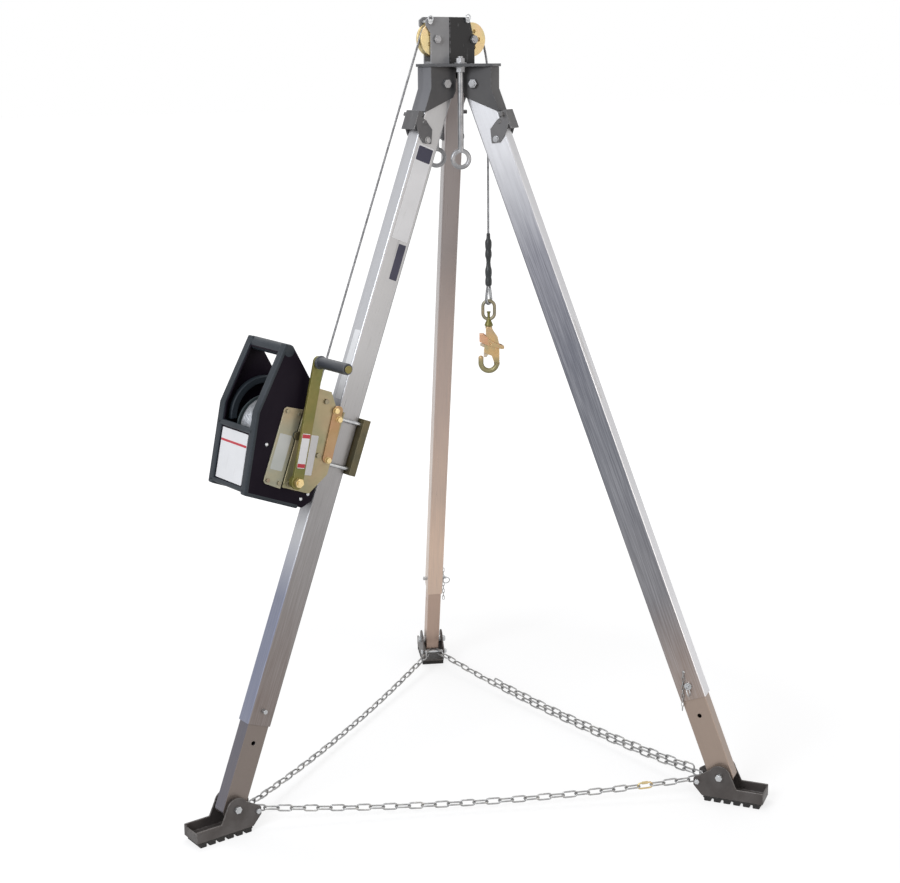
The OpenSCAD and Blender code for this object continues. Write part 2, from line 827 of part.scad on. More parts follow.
// Feet

module shoe_cheek() {
    circle(shoe_round);
    polygon([
        [-heel_end, -heel_z - ear_low], [-floor_x, floor_z], [toe_x, floor_z], [toe_x, floor_z + rim_h],
        [rim_x, floor_z + rim_h], [shoe_neck_x, shoe_neck_z], [-shoe_neck_x, shoe_neck_z],
        [ear_cut - heel_end, ear_high - heel_z], [-heel_end, ear_top - heel_z]
    ]);
}

module foot(i) color("darkgray") at_foot(i) difference() {
    union() {
        across(shoe_in, shoe_w / 2) shoe_cheek();
        across(-shoe_w / 2, -shoe_in) shoe_cheek();
        translate([-floor_x, -shoe_w / 2, floor_z]) cube([toe_x + floor_x, shoe_w, shoe_t]);
        translate([toe_x - shoe_t, -shoe_w / 2, floor_z]) cube([shoe_t, shoe_w, rim_h - lip_drop]);
    }
    rod(0, 0, foot_bolt_d + seat_play, -shoe_w, shoe_w);
    rod(-heel_x, -heel_z, chain_rod_d + seat_play, -shoe_w, shoe_w);
}

module sole(i) color("black") at_foot(i) {
    back = -floor_x + sole_in;
    front = toe_x - sole_front;
    step = (front - back) / cleats;
    translate([back, -shoe_w / 2, floor_z - sole_base]) cube([front - back, shoe_w, sole_base]);
    for (k = [0 : cleats - 1]) translate([back + k * step + cleat_in, -shoe_w / 2, -foot_pivot_h])
        cube([step - cleat_gap, shoe_w, sole_t - sole_base]);
}

module foot_bolts(i) color("goldenrod") at_foot(i) {
    side = shoe_w / 2;
    rod(0, 0, foot_bolt_d, -side - foot_nut_h - foot_end, side);
    hex(0, 0, foot_head_ratio * foot_bolt_d, side, side + foot_head_h);
    hex(0, 0, foot_head_ratio * foot_bolt_d, -side - foot_nut_h, -side);
    for (e = [0, 1]) mirror([0, e, 0]) difference() {
        rod(0, 0, spacer_d, inner_w / 2 + slide_gap, shoe_in);
        rod(0, 0, foot_bolt_d + seat_play, 0, shoe_w);
    }
    rod(-heel_x, -heel_z, chain_rod_d, -side - rod_nut_h - foot_end, side);
    hex(-heel_x, -heel_z, rod_head_d, side, side + rod_head_h);
    hex(-heel_x, -heel_z, rod_head_d, -side - rod_nut_h, -side);
}

// Chains

function sag_z(x) = -4 * chain_sag * x / span * (1 - x / span);
function sag_tilt(x) = -atan(-4 * chain_sag / span * (1 - 2 * x / span));
function link_x(k) = (link_len - link_w) / 2 + k * pitch;

// The link at place k of a span, upright at even places and flat at odd ones
module placed_link(k, rise)
    translate([link_x(k), 0, sag_z(link_x(k)) + rise]) rotate([0, sag_tilt(link_x(k)), 0])
        rotate([90 - 90 * (k % 2), 0, 0]) link(link_len, link_w, wire_d);

// The half of a span that hangs on foot i; the half on the positive side has one link more
module half_chain(i, side, skip = -1) color("silver") at_chain(i, side)
    for (k = [0 : (links - 2 + side) / 2]) if (k != skip) placed_link(k, 0);

// The spare end of the chain, doubled back along the span between legs 2 and 3
module spare_chain(i, side, first, last) color("silver") at_chain(i, side)
    for (k = [first : last]) placed_link(k, tail_rise);

module chain_1_to_2() half_chain(1, 1);

module chain_2_to_1() half_chain(2, -1, coupler_at);

module chain_2_to_3() {
    half_chain(2, 1);
    spare_chain(2, 1, 1, (links - 1) / 2);
}

module chain_3_to_2() {
    half_chain(3, -1);
    spare_chain(3, -1, (links - 3) / 2 - tail_links, (links - 3) / 2);
}

module chain_3_to_1() half_chain(3, 1);

module chain_1_to_3() half_chain(1, -1);

module chain_coupler() color("goldenrod") at_chain(2, -1) {
    placed_link(coupler_at, 0);
    x = link_x(coupler_at);
    translate([x - coupler_nut_len / 2, 0, sag_z(x) + (link_w + wire_d) / 2]) rotate([0, 90, 0])
        cylinder(d = coupler_nut_d, h = coupler_nut_len, $fn = 6);
}

// Winch

module housing_span(y0, y1, pts) across(y0, y1) polygon(pts);

module winch_housing() color("#1c1c1c") at_drum() difference() {
    far_in = -housing_far + side_wall;
    near_in = housing_near - side_wall;
    opening_y = far_in + housing_rim;
    opening_w = near_in - far_in - 2 * housing_rim;
    union() {
        difference() {
            housing_span(-housing_far, housing_near, housing_profile);
            housing_span(far_in, near_in, inset(housing_profile, housing_wall));
            translate([window_x, opening_y, window_low]) cube([flange_r, opening_w, window_top - window_low]);
            translate([hand_x, far_in, hand_low]) cube([hand_far, near_in - far_in, window_top - hand_low]);
        }
        rod(carry_x, carry_z, carry_d, -housing_far, housing_near);
    }
    rod(0, 0, drum_shaft_d + 2 * running_fit, -housing_far - over, housing_near + over);
    rod(crank_x, crank_z, crank_shaft_d + 2 * running_fit, 0, housing_near + over);
    translate([-wind_r, 0, rope_hole_low]) cylinder(d = rope_hole_d, h = rope_hole_h);
}

module winch_bracket() color("#b09a6a") at_drum() difference() {
    past = housing_near + bracket_plate_t + over;
    union() {
        across(housing_near, bracket_plate_y) polygon([
            [leg_face, plate_lug_top], [leg_face + plate_step, plate_top - plate_slope],
            [leg_face + plate_brow, plate_top], [plate_edge, plate_top], [plate_edge, plate_low],
            [leg_face + plate_foot, plate_low], [leg_face, plate_lug_low]
        ]);
        translate([leg_face, -clamp_y - flange_edge, flange_low])
            cube([bracket_plate_t, clamp_y + flange_edge + bracket_plate_y, flange_top - flange_low]);
    }
    rod(crank_x, crank_z, crank_shaft_d + pass_play, 0, past);
    rod(0, 0, drum_shaft_d + pass_play, 0, past);
    for (z = clamp_s, y = [-clamp_y, clamp_y]) translate([leg_face - over, y, z]) rotate([0, 90, 0])
        cylinder(d = clamp_bolt_d + bolt_play, h = bracket_plate_t + 2 * over);
}

module gear_cover() color("silver") at_drum() difference() {
    across(housing_near, housing_near + cover_t) polygon([
        [cover_x, cover_top], [cover_far - cover_cut, cover_top - cover_slope],
        [cover_far, cover_top - cover_slope - cover_cut], [cover_far, cover_low + cover_slope + cover_cut],
        [cover_far - cover_cut, cover_low + cover_slope], [cover_x, cover_low]
    ]);
    rod(0, 0, drum_shaft_d + pass_play, housing_near - over, housing_near + cover_t + over);
}

module clamp_bar() color("#b09a6a") at_drum() difference() {
    bar_top = clamp_s[0] + bar_over;
    bar_low = clamp_s[1] - bar_over;
    bar_y = clamp_y + bar_rim;
    translate([leg_back - bar_depth, -bar_y - bar_wall, bar_low])
        cube([bar_depth, 2 * (bar_y + bar_wall), bar_top - bar_low]);
    translate([leg_back - bar_depth - over, -bar_y, bar_low - over])
        cube([bar_depth - bar_wall + over, 2 * bar_y, bar_top - bar_low + 2 * over]);
    for (z = clamp_s, y = [-clamp_y, clamp_y])
        translate([leg_back - bar_wall - over, y, z]) rotate([0, 90, 0])
            cylinder(d = clamp_bolt_d + bolt_play, h = bar_wall + 2 * over);
}

module clamp_bolts() color("goldenrod") at_drum()
    for (z = clamp_s, y = [-clamp_y, clamp_y]) translate([0, y, z]) rotate([0, 90, 0]) {
        nut_low = leg_back - bar_wall - clamp_nut_h;
        translate([0, 0, nut_low - clamp_end])
            cylinder(d = clamp_bolt_d, h = leg_face + bracket_plate_t - nut_low + clamp_end);
        translate([0, 0, leg_face + bracket_plate_t]) cylinder(d = clamp_head_d, h = clamp_head_h, $fn = 6);
        translate([0, 0, nut_low]) cylinder(d = clamp_head_d, h = clamp_nut_h, $fn = 6);
    }

module winch_bolts() color("goldenrod") at_drum() {
    seat = housing_near + cover_t;
    for (p = [
        [plate_edge - winch_bolt_in, plate_top - winch_bolt_in],
        [-winch_bolt_deep, plate_top - 2 * winch_bolt_in],
        [plate_edge - winch_bolt_in, plate_low + winch_bolt_in],
        [-winch_bolt_back, -winch_bolt_drop]
    ]) hex(p[0], p[1], winch_bolt_d, bracket_plate_y, bracket_plate_y + winch_bolt_h);
    for (x = [cover_x + cover_bolt_in, cover_far - cover_bolt_in])
        for (z = [cover_top - cover_slope - cover_bolt_in, cover_low + cover_slope + cover_bolt_in])
            hex(x, z, cover_bolt_d, seat, seat + cover_bolt_h);
}

module winch_drum() color("silver") at_drum() {
    rod(0, 0, drum_shaft_d, -housing_far, bracket_plate_y + axle_end);
    rod(0, 0, 2 * core_r, flange_far, flange_near);
    rod(0, 0, 2 * flange_r, flange_near, flange_near + flange_t);
    rod(0, 0, 2 * flange_r, flange_far - flange_t, flange_far);
}

// The outer layer of rope: a helix whose free end leaves straight up towards the sheave
wind_path = concat(
    [[-wind_r, wind_y, rope_d]],
    [for (k = [0 : wind_turns * wind_steps]) let (a = 360 * k / wind_steps)
        [-wind_r * cos(a), wind_y - wind_pitch * k / wind_steps, -wind_r * sin(a)]],
    [[-wind_r, wind_end_y, -rope_d]]
);
wind_gap = min([for (k = [1 : len(wind_path) - 2 - wind_steps])
    min([for (j = [-2 : 2]) norm(wind_path[k] - wind_path[min(len(wind_path) - 1, k + wind_steps + j)])])
]) - rope_d;
echo(wind_gap = wind_gap);

function ring_points(p, t, r, sides) =
    let (u = cross(t, [0, 1, 0]), a = u / norm(u), b = cross(t, a))
    [for (k = [0 : sides - 1]) p + r * (cos(360 * k / sides) * a + sin(360 * k / sides) * b)];

module swept(path, r, sides) {
    n = len(path);
    tangents = [for (k = [0 : n - 1])
        let (d = path[min(n - 1, k + 1)] - path[max(0, k - 1)]) d / norm(d)];
    points = [for (k = [0 : n - 1]) each ring_points(path[k], tangents[k], r, sides)];
    walls = [for (k = [0 : n - 2], j = [0 : sides - 1]) let (a = k * sides, c = (j + 1) % sides)
        each [[a + j, a + c, a + sides + c], [a + j, a + sides + c, a + sides + j]]];
    polyhedron(points, concat(
        [[for (j = [sides - 1 : -1 : 0]) j]], walls, [[for (j = [0 : sides - 1]) (n - 1) * sides + j]]
    ));
}

module drum_rope() color("silver") at_drum() swept(wind_path, rope_d / 2, wind_sides);

// Half the angle that a tooth takes at radius r, on an involute of 20 degrees
pressure = 20;
backlash = 0.4;
function involute(a) = tan(a) * 180 / PI - a;
function tooth_half(teeth, r) =
    let (pitch_r = gear_module * teeth / 2, base_r = pitch_r * cos(pressure), at = max(r, base_r + 0.01))
    ((PI * gear_module / 2 - backlash) / 2 / pitch_r) * 180 / PI
        + involute(pressure) - involute(acos(base_r / at));

function gear_points(teeth, turn) =
    let (pitch_r = gear_module * teeth / 2, tip = pitch_r + 0.75 * gear_module, root = pitch_r - gear_module,
        radii = [root, pitch_r - 0.3 * gear_module, pitch_r, pitch_r + 0.4 * gear_module, tip])
    [for (k = [0 : teeth - 1]) let (a = turn + 360 * k / teeth)
        each concat(
            [for (r = radii) let (h = a - tooth_half(teeth, r)) r * [cos(h), sin(h)]],
            [for (j = [4 : -1 : 0]) let (h = a + tooth_half(teeth, radii[j])) radii[j] * [cos(h), sin(h)]]
        )];

module drum_gear() color("slategray") at_drum() difference() {
    union() {
        across(gear_y, gear_y + gear_w) polygon(gear_points(gear_teeth, mesh_angle + 180 / gear_teeth));
        rod(0, 0, gear_hub_d, flange_near + flange_t, gear_y);
    }
    rod(0, 0, drum_shaft_d + seat_play, 0, housing_near);
}

module crank_shaft() color("slategray") at_crank() {
    pinion_end = gear_y + gear_w + pinion_over;
    arm_end = arm_y + arm_t;
    across(gear_y - pinion_over, pinion_end) polygon(gear_points(pinion_teeth, mesh_angle + 180));
    rod(0, 0, crank_shaft_d, pinion_end, arm_end + crank_end);
    hex(0, 0, crank_nut_d, arm_end + head_gap, arm_end + crank_nut_h);
}

module crank_arm() color("#8f8a5e") at_crank() rotate([0, crank_rest, 0]) difference() {
    cap = grip_y + grip_len + grip_cap_gap;
    union() {
        across(arm_y, arm_y + arm_t) {
            circle(d = arm_w + arm_boss);
            translate([-arm_w / 2, 0]) square([arm_w, crank_throw]);
            translate([0, crank_throw]) circle(d = arm_w);
        }
        rod(0, 0, hub_d, bracket_plate_y + hub_gap, arm_y);
        rod(0, crank_throw, grip_pin_d, arm_y, cap + grip_cap_t);
        rod(0, crank_throw, grip_cap_d, cap, cap + grip_cap_t);
    }
    rod(0, 0, crank_shaft_d + 2 * running_fit, 0, arm_y + arm_t + over);
}

module crank_grip() color("#3a3a3d") at_crank() rotate([0, crank_rest, 0]) difference() {
    union() {
        rod(0, crank_throw, grip_d, grip_y, grip_y + grip_len);
        rod(0, crank_throw, grip_d + grip_collar, grip_y, grip_y + grip_collar);
    }
    rod(0, crank_throw, grip_pin_d + 2 * running_fit, grip_y - over, grip_y + grip_len + over);
}

// The stretch of rope along the winch leg, from clear of the coil to the sheave
module leg_rope() color("silver") at_leg(1) translate([rope_n, 0, rope_start - drum_s])
    cylinder(d = rope_d, h = drum_s - rope_start - rope_top_s - slide_gap);

// Load line

module load_rope() color("silver") at_axis() translate([load_x, 0, sleeve_z])
    cylinder(d = rope_d, h = head_z + bow_end_z - sleeve_z);

module rope_end() color("#202020") at_hook() {
    translate([0, 0, -sleeve_len]) cylinder(d = sleeve_d, h = sleeve_len);
    for (z = [-ferrule_in - ferrule_len, ferrule_in - sleeve_len])
        translate([0, 0, z]) cylinder(d = ferrule_d, h = ferrule_len);
    translate([0, 0, thimble_z]) rotate(90) ring(thimble_r, thimble_wire);
    translate([0, 0, thimble_z + thimble_r]) cylinder(d = eye_neck_d, h = eye_neck + thimble_wire / 2);
}

module swivel_eye() color("goldenrod") at_hook() {
    translate([0, 0, oval_z]) rotate([90, 0, 0]) rotate(90) link(oval_len, oval_w, oval_wire);
    stud_low = swivel_low + barrel_h;
    cap_low = oval_z - oval_len / 2 + stud_top - swivel_cap_h;
    translate([0, 0, stud_low]) cylinder(d = swivel_stud_d, h = cap_low - stud_low);
    translate([0, 0, cap_low]) cylinder(d = swivel_cap_d, h = swivel_cap_h);
    translate([0, 0, swivel_low]) difference() {
        cylinder(d = barrel_d, h = barrel_h);
        translate([0, 0, -over]) cylinder(d = neck_pin_d + 2 * running_fit, h = barrel_floor + 2 * over);
        translate([0, 0, barrel_floor]) cylinder(d = disc_d + disc_gap, h = disc_t + 2 * disc_gap);
    }
}

// The forged body above the bowl: neck, shoulder, spine and the fork round the gate
module hook_outline() polygon([
    [-neck_half, swivel_low - collar_h], [neck_half, swivel_low - collar_h],
    [stock_r - body_y, swivel_low - shoulder_h], [hook_back - collar_h, swivel_low - 2 * shoulder_h],
    [hook_back, lever_pin[1] - collar_h], [hook_back, bowl_z], [bowl_r, bowl_z],
    [gate_slot_x, bowl_z + jaw_h], gate_pin + [0, -gate_hub_d - collar_h], gate_pin + [-gate_d, -gate_hub_d],
    gate_pin + [-gate_d, gate_hub_d / 2], [-neck_half, lever_pin[1] + lever_pin_d]
]);

module hook_body() color("silver") at_hook() difference() {
    collar_z = swivel_low - slide_gap - collar_h;
    disc_z = swivel_low + barrel_floor + disc_gap;
    union() {
        translate([0, 0, bowl_z]) arc(stock_r, stock_d, 180, 180);
        translate([-stock_r, 0, bowl_z]) cylinder(d = stock_d, h = nose_h);
        translate([-stock_r, 0, bowl_z + nose_h]) sphere(d = stock_d);
        across(-body_y, body_y) hook_outline();
        translate([0, 0, collar_z]) cylinder(d = collar_d, h = collar_h);
        translate([0, 0, collar_z]) cylinder(d = neck_pin_d, h = disc_z - collar_z + disc_t / 2);
        translate([0, 0, disc_z]) cylinder(d = disc_d, h = disc_t);
        rod(lever_pin[0], lever_pin[1], lever_pin_d, -lever_y - lever_t, lever_y + lever_t);
    }
    translate([-2 * stock_r, -gate_slot_y, bowl_z + jaw_h])
        cube([2 * stock_r + gate_slot_x, 2 * gate_slot_y, gate_slot_h]);
}

module hook_gate() color("goldenrod") at_hook() {
    run = gate_pin - gate_tip;
    rod(gate_pin[0], gate_pin[1], gate_hub_d, -gate_y, gate_y);
    translate([gate_tip[0], 0, gate_tip[1]]) rotate([0, atan2(run[0], run[1]), 0])
        cylinder(d = gate_d, h = norm(run));
    across(-gate_y, gate_y) polygon([
        gate_pin + [0, gate_hub_d / 2], gate_pin + [-tab_in, tab_rise], gate_pin + [-tab_out, tab_rise],
        gate_pin + [-tab_out, tab_rise - tab_h], gate_pin + [-gate_hub_d / 2, 0]
    ]);
}

module hook_lever() color("goldenrod") at_hook() translate([lever_pin[0], 0, lever_pin[1]]) difference() {
    out_y = lever_y + lever_t;
    union() {
        for (e = [0, 1]) mirror([0, e, 0]) across(lever_y, out_y) polygon([
            [thumb_x, thumb_low], [thumb_x, thumb_low + thumb_h], [thumb_x + thumb_w, thumb_low + thumb_h],
            [lever_pin_d, lever_pin_d], [knob_x, knob_z + knob_d / 2], [knob_x, knob_z - knob_d / 2],
            [-lever_pin_d, -lever_pin_d]
        ]);
        translate([thumb_x, -out_y, thumb_low]) cube([thumb_w, 2 * out_y, thumb_h]);
        rod(knob_x, knob_z, knob_d, -out_y, out_y);
    }
    rod(0, 0, lever_pin_d + 2 * running_fit, -2 * out_y, 2 * out_y);
}

head_plate();
leg_brackets();
pivot_bolts();
sheave_brackets();
sheave_axles();
keeper_pins();
eyebolts();
head_rope();
winch_sheave();
load_sheave();
outer_leg(1);  // outer_leg_1
outer_leg(2);  // outer_leg_2
outer_leg(3);  // outer_leg_3
leg_fittings(1);  // leg_fittings_1
leg_fittings(2);  // leg_fittings_2
leg_fittings(3);  // leg_fittings_3
latch(1);  // latch_1
latch(2);  // latch_2
latch(3);  // latch_3
inner_leg(1);  // inner_leg_1
inner_leg(2);  // inner_leg_2
inner_leg(3);  // inner_leg_3
lock_pin(1);  // lock_pin_1
lock_pin(2);  // lock_pin_2
lock_pin(3);  // lock_pin_3
foot(1);  // foot_1
foot(2);  // foot_2
foot(3);  // foot_3
sole(1);  // sole_1
sole(2);  // sole_2
sole(3);  // sole_3
foot_bolts(1);  // foot_bolts_1
foot_bolts(2);  // foot_bolts_2
foot_bolts(3);  // foot_bolts_3
chain_1_to_2();
chain_2_to_1();
chain_2_to_3();
chain_3_to_2();
chain_3_to_1();
chain_1_to_3();
chain_coupler();
winch_housing();
winch_bracket();
gear_cover();
clamp_bar();
clamp_bolts();
winch_bolts();
winch_drum();
drum_rope();
drum_gear();
crank_shaft();
crank_arm();
crank_grip();
leg_rope();
load_rope();
rope_end();
swivel_eye();
hook_body();
hook_gate();
hook_lever();
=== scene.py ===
"""Looks of the rescue tripod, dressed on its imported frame. Pieces are modelled in millimetres in the frame of
the leg, foot, winch, hook or head that carries them, and then set in place."""

import json
import math

import bmesh
import bpy
from mathutils import Matrix, Vector


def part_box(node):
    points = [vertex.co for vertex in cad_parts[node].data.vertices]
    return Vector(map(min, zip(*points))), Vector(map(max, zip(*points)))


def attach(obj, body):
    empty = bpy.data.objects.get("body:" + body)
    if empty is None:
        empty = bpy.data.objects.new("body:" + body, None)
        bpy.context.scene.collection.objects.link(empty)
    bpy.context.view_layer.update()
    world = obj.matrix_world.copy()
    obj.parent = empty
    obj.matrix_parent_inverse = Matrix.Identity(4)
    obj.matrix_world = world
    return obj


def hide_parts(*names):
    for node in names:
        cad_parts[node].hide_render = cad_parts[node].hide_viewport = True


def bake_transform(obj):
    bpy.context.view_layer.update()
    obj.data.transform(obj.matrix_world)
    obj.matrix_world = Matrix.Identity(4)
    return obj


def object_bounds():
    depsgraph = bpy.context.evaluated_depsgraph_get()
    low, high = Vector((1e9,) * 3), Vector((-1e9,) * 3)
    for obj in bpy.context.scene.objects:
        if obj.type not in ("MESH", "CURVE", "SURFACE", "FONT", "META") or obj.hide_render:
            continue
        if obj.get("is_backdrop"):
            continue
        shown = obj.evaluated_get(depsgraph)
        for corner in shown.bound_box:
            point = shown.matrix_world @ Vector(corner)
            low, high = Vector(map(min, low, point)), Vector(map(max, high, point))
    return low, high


MM = 0.001
UP = Vector((0, 0, 1))
ALONG_X = (1, 0, 0)
ALONG_Y = (0, 1, 0)
LEGS = (1, 2, 3)

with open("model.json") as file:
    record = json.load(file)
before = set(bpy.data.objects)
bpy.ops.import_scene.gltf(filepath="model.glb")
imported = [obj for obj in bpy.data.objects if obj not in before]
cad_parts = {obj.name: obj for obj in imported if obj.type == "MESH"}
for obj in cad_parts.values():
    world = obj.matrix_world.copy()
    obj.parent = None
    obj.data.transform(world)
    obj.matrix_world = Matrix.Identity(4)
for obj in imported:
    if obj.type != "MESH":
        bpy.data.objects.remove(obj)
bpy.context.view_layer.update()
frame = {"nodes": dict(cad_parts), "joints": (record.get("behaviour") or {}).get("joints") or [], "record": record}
record = frame["record"]
joints = {joint["name"]: joint for joint in frame["joints"]}
slot_of = {part["node"]: part["material_slot"] for part in record["subparts"]}
body_of = {node: body for body, nodes in record["behaviour"]["bodies"].items() for node in nodes}


# Frames of the tripod's parts

def spot(joint):
    return Vector(joints[joint]["pos_m"])


def line_of(joint):
    return Vector(joints[joint]["axis"]).normalized()


def set_frame(origin, side, up):
    """A frame with y along side and z along up."""
    place = Matrix((side.cross(up), side, up)).transposed().to_4x4()
    place.translation = origin
    return place


def leg_frame(leg):
    return set_frame(spot(f"leg_fold_{leg}"), line_of(f"leg_fold_{leg}"), -line_of(f"leg_extend_{leg}"))


def foot_frame(leg):
    return set_frame(spot(f"shoe_tilt_{leg}"), line_of(f"leg_fold_{leg}"), UP)


axis_x = sum(spot(f"leg_fold_{leg}").x for leg in LEGS) / len(LEGS)
head = Matrix.Translation((axis_x, 0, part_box("head_plate")[1].z))
winch_side = line_of("leg_fold_1")
drum = set_frame(spot("drum_turn"), winch_side, -line_of("leg_extend_1"))
crank = set_frame(spot("crank_turn"), winch_side, (spot("grip_spin") - spot("crank_turn")).normalized())
hook = set_frame(spot("hook_swivel"), -line_of("gate_open"), UP)


# Camera at the photograph's viewpoint

EYE = Vector((-2.5426, -3.577, 2.020))
LOOK = Vector((0.6100, 0.7925, 0)).normalized()
PITCH = math.radians(9.4117)
ROLL = math.radians(-0.433)
LENS = 64.38
SENSOR = 36
SHIFT_X = -0.0102
SHIFT_Y = -0.1214

camera = bpy.data.objects.new("camera", bpy.data.cameras.new("camera"))
camera.data.lens = LENS
camera.data.sensor_width = SENSOR
camera.data.shift_x = SHIFT_X
camera.data.shift_y = SHIFT_Y
forward = LOOK * math.cos(PITCH) - UP * math.sin(PITCH)
right = forward.cross(UP).normalized()
above = right.cross(forward)
turned_right = right * math.cos(ROLL) + above * math.sin(ROLL)
turned_above = above * math.cos(ROLL) - right * math.sin(ROLL)
turning = Matrix((turned_right, turned_above, -forward)).transposed().to_4x4()
camera.matrix_world = Matrix.Translation(EYE) @ turning
bpy.context.scene.collection.objects.link(camera)
bpy.context.scene.camera = camera


# Finishes

class Finish:
    """A material on the piece's own coordinates, in metres, which each mesh carries as the attribute own."""

    def __init__(self, name, metallic, roughness, **sockets):
        self.material = bpy.data.materials.new(name)
        self.material.use_nodes = True
        self.tree = self.material.node_tree
        self.surface = self.tree.nodes["Principled BSDF"]
        self.surface.inputs["Metallic"].default_value = metallic
        self.surface.inputs["Roughness"].default_value = roughness
        for socket, value in sockets.items():
            self.surface.inputs[socket.replace("_", " ")].default_value = value
        self.own = self.add("ShaderNodeAttribute", attribute_name="own").outputs["Vector"]

    def add(self, kind, inputs=(), **settings):
        node = self.tree.nodes.new(kind)
        for name, value in settings.items():
            setattr(node, name, value)
        for socket, value in dict(inputs).items():
            if isinstance(value, bpy.types.NodeSocket):
                self.tree.links.new(value, node.inputs[socket])
            else:
                node.inputs[socket].default_value = value
        return node

    def noise(self, scale, detail=3.0, stretch=(1, 1, 1), rough=0.55):
        place = self.add("ShaderNodeMapping", {"Vector": self.own, "Scale": stretch}).outputs["Vector"]
        return self.add("ShaderNodeTexNoise", {"Vector": place, "Scale": scale, "Detail": detail,
                                               "Roughness": rough}).outputs["Fac"]

    def spread(self, value, low, high, to_low=0.0, to_high=1.0):
        return self.add("ShaderNodeMapRange", {"Value": value, "From Min": low, "From Max": high,
                                               "To Min": to_low, "To Max": to_high}).outputs["Result"]

    def times(self, a, b):
        return self.add("ShaderNodeMath", {0: a, 1: b}, operation="MULTIPLY").outputs["Value"]

    def mix(self, factor, a, b, blend="MIX"):
        node = self.add("ShaderNodeMix", {"Factor": factor}, data_type="RGBA", blend_type=blend)
        for socket, value in ((6, a), (7, b)):
            if isinstance(value, bpy.types.NodeSocket):
                self.tree.links.new(value, node.inputs[socket])
            else:
                node.inputs[socket].default_value = (*value, 1)
        return node.outputs[2]

    def fade(self, body, axis, low, high, colour):
        """Changes the colour along an axis of the piece, from low to high in metres."""
        at = self.add("ShaderNodeSeparateXYZ", {0: self.own}).outputs[axis]
        return self.mix(self.spread(at, low, high), body, colour)

    def paint_light_by_facing(self, body, axis, start, end, colour, blend="MIX"):
        """Paints light or shade: changes the colour on faces by how far they look along an axis of the piece."""
        side = self.add("ShaderNodeAttribute", attribute_name="side").outputs["Vector"]
        at = self.add("ShaderNodeSeparateXYZ", {0: side}).outputs[axis]
        return self.mix(self.spread(at, start, end), body, colour, blend)

    def edges(self):
        return self.add("ShaderNodeAttribute", attribute_name="edge").outputs["Fac"]

    def colour(self, value):
        self.tree.links.new(value, self.surface.inputs["Base Color"])

    def roughness(self, value):
        self.tree.links.new(value, self.surface.inputs["Roughness"])

    def bump(self, height, depth, strength=0.6):
        node = self.add("ShaderNodeBump", {"Height": height, "Distance": depth, "Strength": strength})
        self.tree.links.new(node.outputs["Normal"], self.surface.inputs["Normal"])


def brushed(name, base, tint, metallic, rough, grain=(90, 90, 1.5), stain=3.0, scratch=0.35,
            painted_light_fades=(), side=None, painted_side_fades=()):
    """Drawn metal: streaks along z, cloudy tarnish, a few scratches, and painted light and shade: colours that
    change along z and a lighter or darker colour on faces turned along one axis.
    """
    finish = Finish(name, metallic, rough)
    streaks = finish.noise(6.0, 4.0, grain)
    cloud = finish.noise(stain, 4.0, (1, 1, 0.5))
    body = base
    # Painted light and shade: the colour changes along z where the light on the leg changes.
    for low, high, colour in painted_light_fades:
        body = finish.fade(body, "Z", low, high, colour)
    # Painted light and shade: faces turned along the axis get their own lighter or darker colour, which may itself
    # change along z.
    if side:
        axis, start, end, painted_side_tone, *blend = side
        for low, high, colour in painted_side_fades:
            painted_side_tone = finish.fade(painted_side_tone, "Z", low, high, colour)
        body = finish.paint_light_by_facing(body, axis, start, end, painted_side_tone, *blend)
    body = finish.mix(finish.times(finish.spread(cloud, 0.35, 0.7), 0.3), body, tint)
    pale = tuple(min(1.0, c * 1.16) for c in base)
    body = finish.mix(finish.times(finish.spread(streaks, 0.4, 0.75), 0.3), body, pale)
    nicks = finish.spread(finish.noise(26.0, 2.0, (1, 1, 0.12)), 0.69, 0.74)
    dull = tuple(c * 0.7 for c in tint)
    finish.colour(finish.mix(finish.times(nicks, scratch), body, dull))
    finish.roughness(finish.spread(streaks, 0.25, 0.8, rough - 0.1, rough + 0.12))
    finish.bump(streaks, 0.0002, 0.35)
    return finish.material


def plated(name, base, second, third, metallic, rough, cloud=22.0, fade=None):
    """Passivated zinc: cloudy patches of two other tints, dull spots and pale worn edges."""
    finish = Finish(name, metallic, rough)
    patch = finish.noise(cloud, 3.0)
    fine = finish.noise(cloud * 9, 3.0)
    body = finish.mix(finish.spread(patch, 0.4, 0.62), base, second)
    blotch = finish.spread(finish.noise(cloud * 0.6, 2.0, (1, 1.6, 0.7)), 0.52, 0.7)
    body = finish.mix(finish.times(blotch, 0.75), body, third)
    if fade:
        body = finish.fade(body, *fade)
    worn = tuple(min(1.0, c * 1.3 + 0.05) for c in base)
    rub = finish.times(finish.edges(), finish.spread(fine, 0.42, 0.6))
    finish.colour(finish.mix(rub, body, worn))
    finish.roughness(finish.spread(fine, 0.3, 0.75, rough - 0.08, rough + 0.14))
    finish.bump(fine, 0.00012, 0.4)
    return finish.material


def coated(name, base, second, rough, worn, wear=0.7, grit=900.0, depth=0.00015, metallic=0.0, fade=None,
           side=None, shine=0.5):
    """Paint or moulded plastic: fine grit, soft colour drift, scuffs and rubbed edges, and, where asked, painted
    light and shade along an axis or on faces turned one way.
    """
    finish = Finish(name, metallic, rough, Specular_IOR_Level=shine)
    drift = finish.noise(9.0, 4.0)
    fine = finish.noise(grit, 2.0)
    scuff = finish.spread(finish.noise(60.0, 5.0, (1, 1, 0.3)), 0.63, 0.72)
    body = finish.mix(finish.spread(drift, 0.35, 0.68), base, second)
    if fade:
        body = finish.fade(body, *fade)
    if side:
        body = finish.paint_light_by_facing(body, *side)
    body = finish.mix(finish.times(scuff, 0.22), body, worn)
    rub = finish.times(finish.edges(), finish.spread(finish.noise(140.0, 3.0), 0.46, 0.62))
    finish.colour(finish.mix(finish.times(rub, wear), body, worn))
    finish.roughness(finish.spread(drift, 0.3, 0.7, rough - 0.06, rough + 0.1))
    finish.bump(fine, depth, 0.5)
    return finish.material


